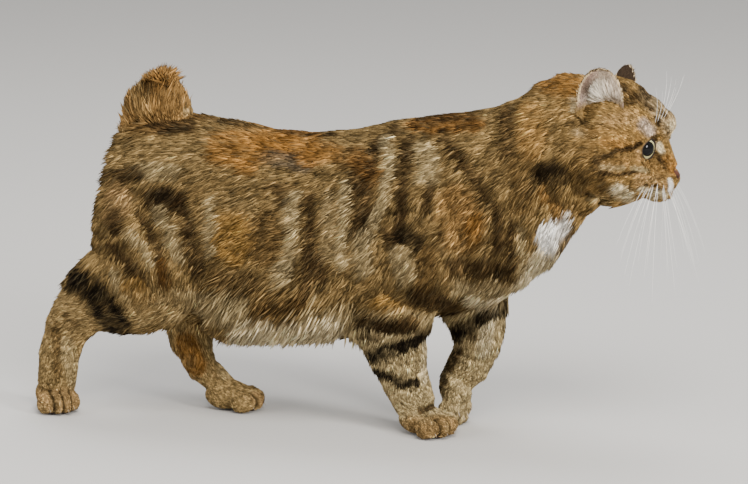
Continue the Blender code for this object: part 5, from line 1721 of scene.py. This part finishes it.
def build_whiskers(material):
    """Whiskers in rows on the upper lip, bending down, and some over each eye, bending back."""
    grids = []
    for side in (1, -1):
        for row in range(WHISKER_ROWS):
            for k in range(WHISKERS_IN_ROW):
                start = (0.0430 - 0.0034 * k, side * (0.0155 + 0.0014 * k),
                         -0.0385 - 0.0024 * row + 0.0004 * k)
                way = (0.40 - 0.20 * k + random.normal(0.0, 0.05), side * 0.62,
                       -0.62 - 0.08 * row + random.normal(0.0, 0.05))
                length = random.uniform(*WHISKER_LENGTHS) * (1.0 - 0.08 * abs(k - 2))
                grids.append(whisker(start, way, length, (0.0, side * 0.22, 0.34)))
        for k in range(BROW_WHISKERS):
            start = (0.0370 - 0.0012 * k, side * (0.0125 + 0.0022 * k), 0.0070 + 0.0004 * k)
            way = (0.52 - 0.10 * k, side * (0.20 + 0.12 * k), 0.85)
            length = random.uniform(*BROW_LENGTHS)
            grids.append(whisker(start, way, length, (0.16, 0.0, 0.0)))
    return grids_piece("whiskers", grids, material)


def build_claws(material):
    """A small curved cone in front of each toe."""
    grids = []
    share = np.linspace(0.0, 1.0, CLAW_STATIONS)
    radii = CLAW_RADIUS * (1.0 - share) ** 0.8 + CLAW_TIP
    for leg, (_, _, bend, spread) in PAWS.items():
        ahead, length, height, rise, curl = CLAW_OF_BENT_PAW if bend > 0.0 else CLAW_OF_FLAT_PAW
        for step, reach in TOES:
            path = np.stack([reach + ahead + length * share,
                             np.full(CLAW_STATIONS, step * TOE_STEP * spread),
                             height + rise * share - curl * share ** 2], axis=1)
            grids.append(tube_grid(moved(path, paw_matrix(leg)), radii, CLAW_SIDES))
    return grids_piece("claws", grids, material)


# Stage


def aimed(name, data, place, way):
    """A light or camera at a place, looking along a way."""
    thing = placed(name, data)
    thing.location = place
    thing.rotation_mode = "QUATERNION"
    thing.rotation_quaternion = way.to_track_quat("-Z", "Y")
    return thing


def area_light(name, place, target, size, power, colour):
    light = bpy.data.lights.new(name, "AREA")
    light.shape = "DISK"
    light.size = size
    light.energy = power
    light.color = colour
    return aimed(name, light, place, Vector(target) - Vector(place))


def build_stage():
    """A plain pale floor, soft light from above and in front, and the camera."""
    signs = ((-1.0, -1.0, 0.0), (1.0, -1.0, 0.0), (1.0, 1.0, 0.0), (-1.0, 1.0, 0.0))
    corners = FLOOR_HALF * np.array(signs)
    paint = finish("floor_paint", 0.85, 0.2, FLOOR_COLOUR)
    floor = new_piece("floor", corners, np.array(((0, 1, 2, 3),)), paint)
    lights = [area_light(name, *row) for name, row in LIGHTS.items()]
    world = bpy.data.worlds.new("studio")
    world.use_nodes = True
    backdrop = world.node_tree.nodes["Background"]
    backdrop.inputs["Color"].default_value = (*WORLD_COLOUR, 1.0)
    backdrop.inputs["Strength"].default_value = WORLD_STRENGTH
    bpy.context.scene.world = world
    data = bpy.data.cameras.new("camera")
    data.sensor_width = SENSOR_WIDTH
    data.lens = FOCAL_PIXELS / PICTURE_WIDTH * SENSOR_WIDTH
    back = Vector(camera_back())
    place = Vector(CAMERA_TARGET) + Vector(TO_FRAME) + back * CAMERA_DISTANCE
    bpy.context.scene.camera = aimed("camera", data, place, -back)


def main():
    """Builds all pieces and the stage, and returns the count of faces of each piece."""
    materials = {
        "skin": finish("skin_coat", 0.90, 0.03),
        "body": finish("body_hair", 0.80, 0.03),
        "paw": finish("paw_hair", 0.80, 0.03),
        "ear": finish("ear_leather", 0.62, 0.3),
        "eye": finish("eye_glass", 0.06, 0.11),
        "lid": finish("lid_skin", 0.60, 0.12),
        "nose": finish("nose_leather", 0.50, 0.22),
        "claw": finish("claw_horn", 0.40, 0.3, (0.34, 0.27, 0.20)),
        "whisker": finish("whisker", 0.35, 0.5, (0.90, 0.88, 0.84)),
    }
    add_bump(materials["skin"], 620.0, 0.6, 0.0006)
    add_bump(materials["nose"], 1900.0, 0.35, 0.0002)
    skin, points, triangles = build_skin(materials["skin"])
    pieces = [(skin, "tabby_coat")]
    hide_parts("torso", "neck", "head", "tail", "thigh_left", "thigh_right", "hind_leg_left",
                "hind_leg_right", "fore_leg_left", "fore_leg_right", "hind_paw_left", "hind_paw_right",
                "fore_paw_left", "fore_paw_right")
    for piece, kind in build_coat(points, triangles, materials):
        pieces.append((piece, "paw_coat" if kind == "paw" else "tabby_coat"))
    for side_name in EARS:
        ear, tufts = build_ear(side_name, materials)
        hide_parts("ear_" + side_name)
        pieces += [(ear, "ear_skin"), (tufts, "tabby_coat")]
    for side, side_name in ((1, "left"), (-1, "right")):
        node = "eye_" + side_name
        eye = build_eye(node + "_ball", side, materials["eye"])
        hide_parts(node)
        lid = build_lid("lid_" + side_name, side, materials["lid"])
        pieces += [(eye, "eye_glass"), (lid, "tabby_coat")]
    pieces.append((build_nose(materials["nose"]), "nose_leather"))
    pieces.append((build_whiskers(materials["whisker"]), "whisker"))
    pieces.append((build_claws(materials["claw"]), "claw_horn"))
    for piece, slot in pieces:
        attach(piece, "root")
    build_stage()
    return {piece.name: len(piece.data.polygons) for piece, _ in pieces}


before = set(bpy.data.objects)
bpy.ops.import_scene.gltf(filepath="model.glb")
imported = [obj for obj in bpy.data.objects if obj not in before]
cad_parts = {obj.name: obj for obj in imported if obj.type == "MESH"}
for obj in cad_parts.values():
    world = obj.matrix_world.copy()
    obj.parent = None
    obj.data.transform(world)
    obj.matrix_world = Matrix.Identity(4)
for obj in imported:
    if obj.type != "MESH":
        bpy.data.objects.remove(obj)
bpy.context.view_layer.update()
made = main()
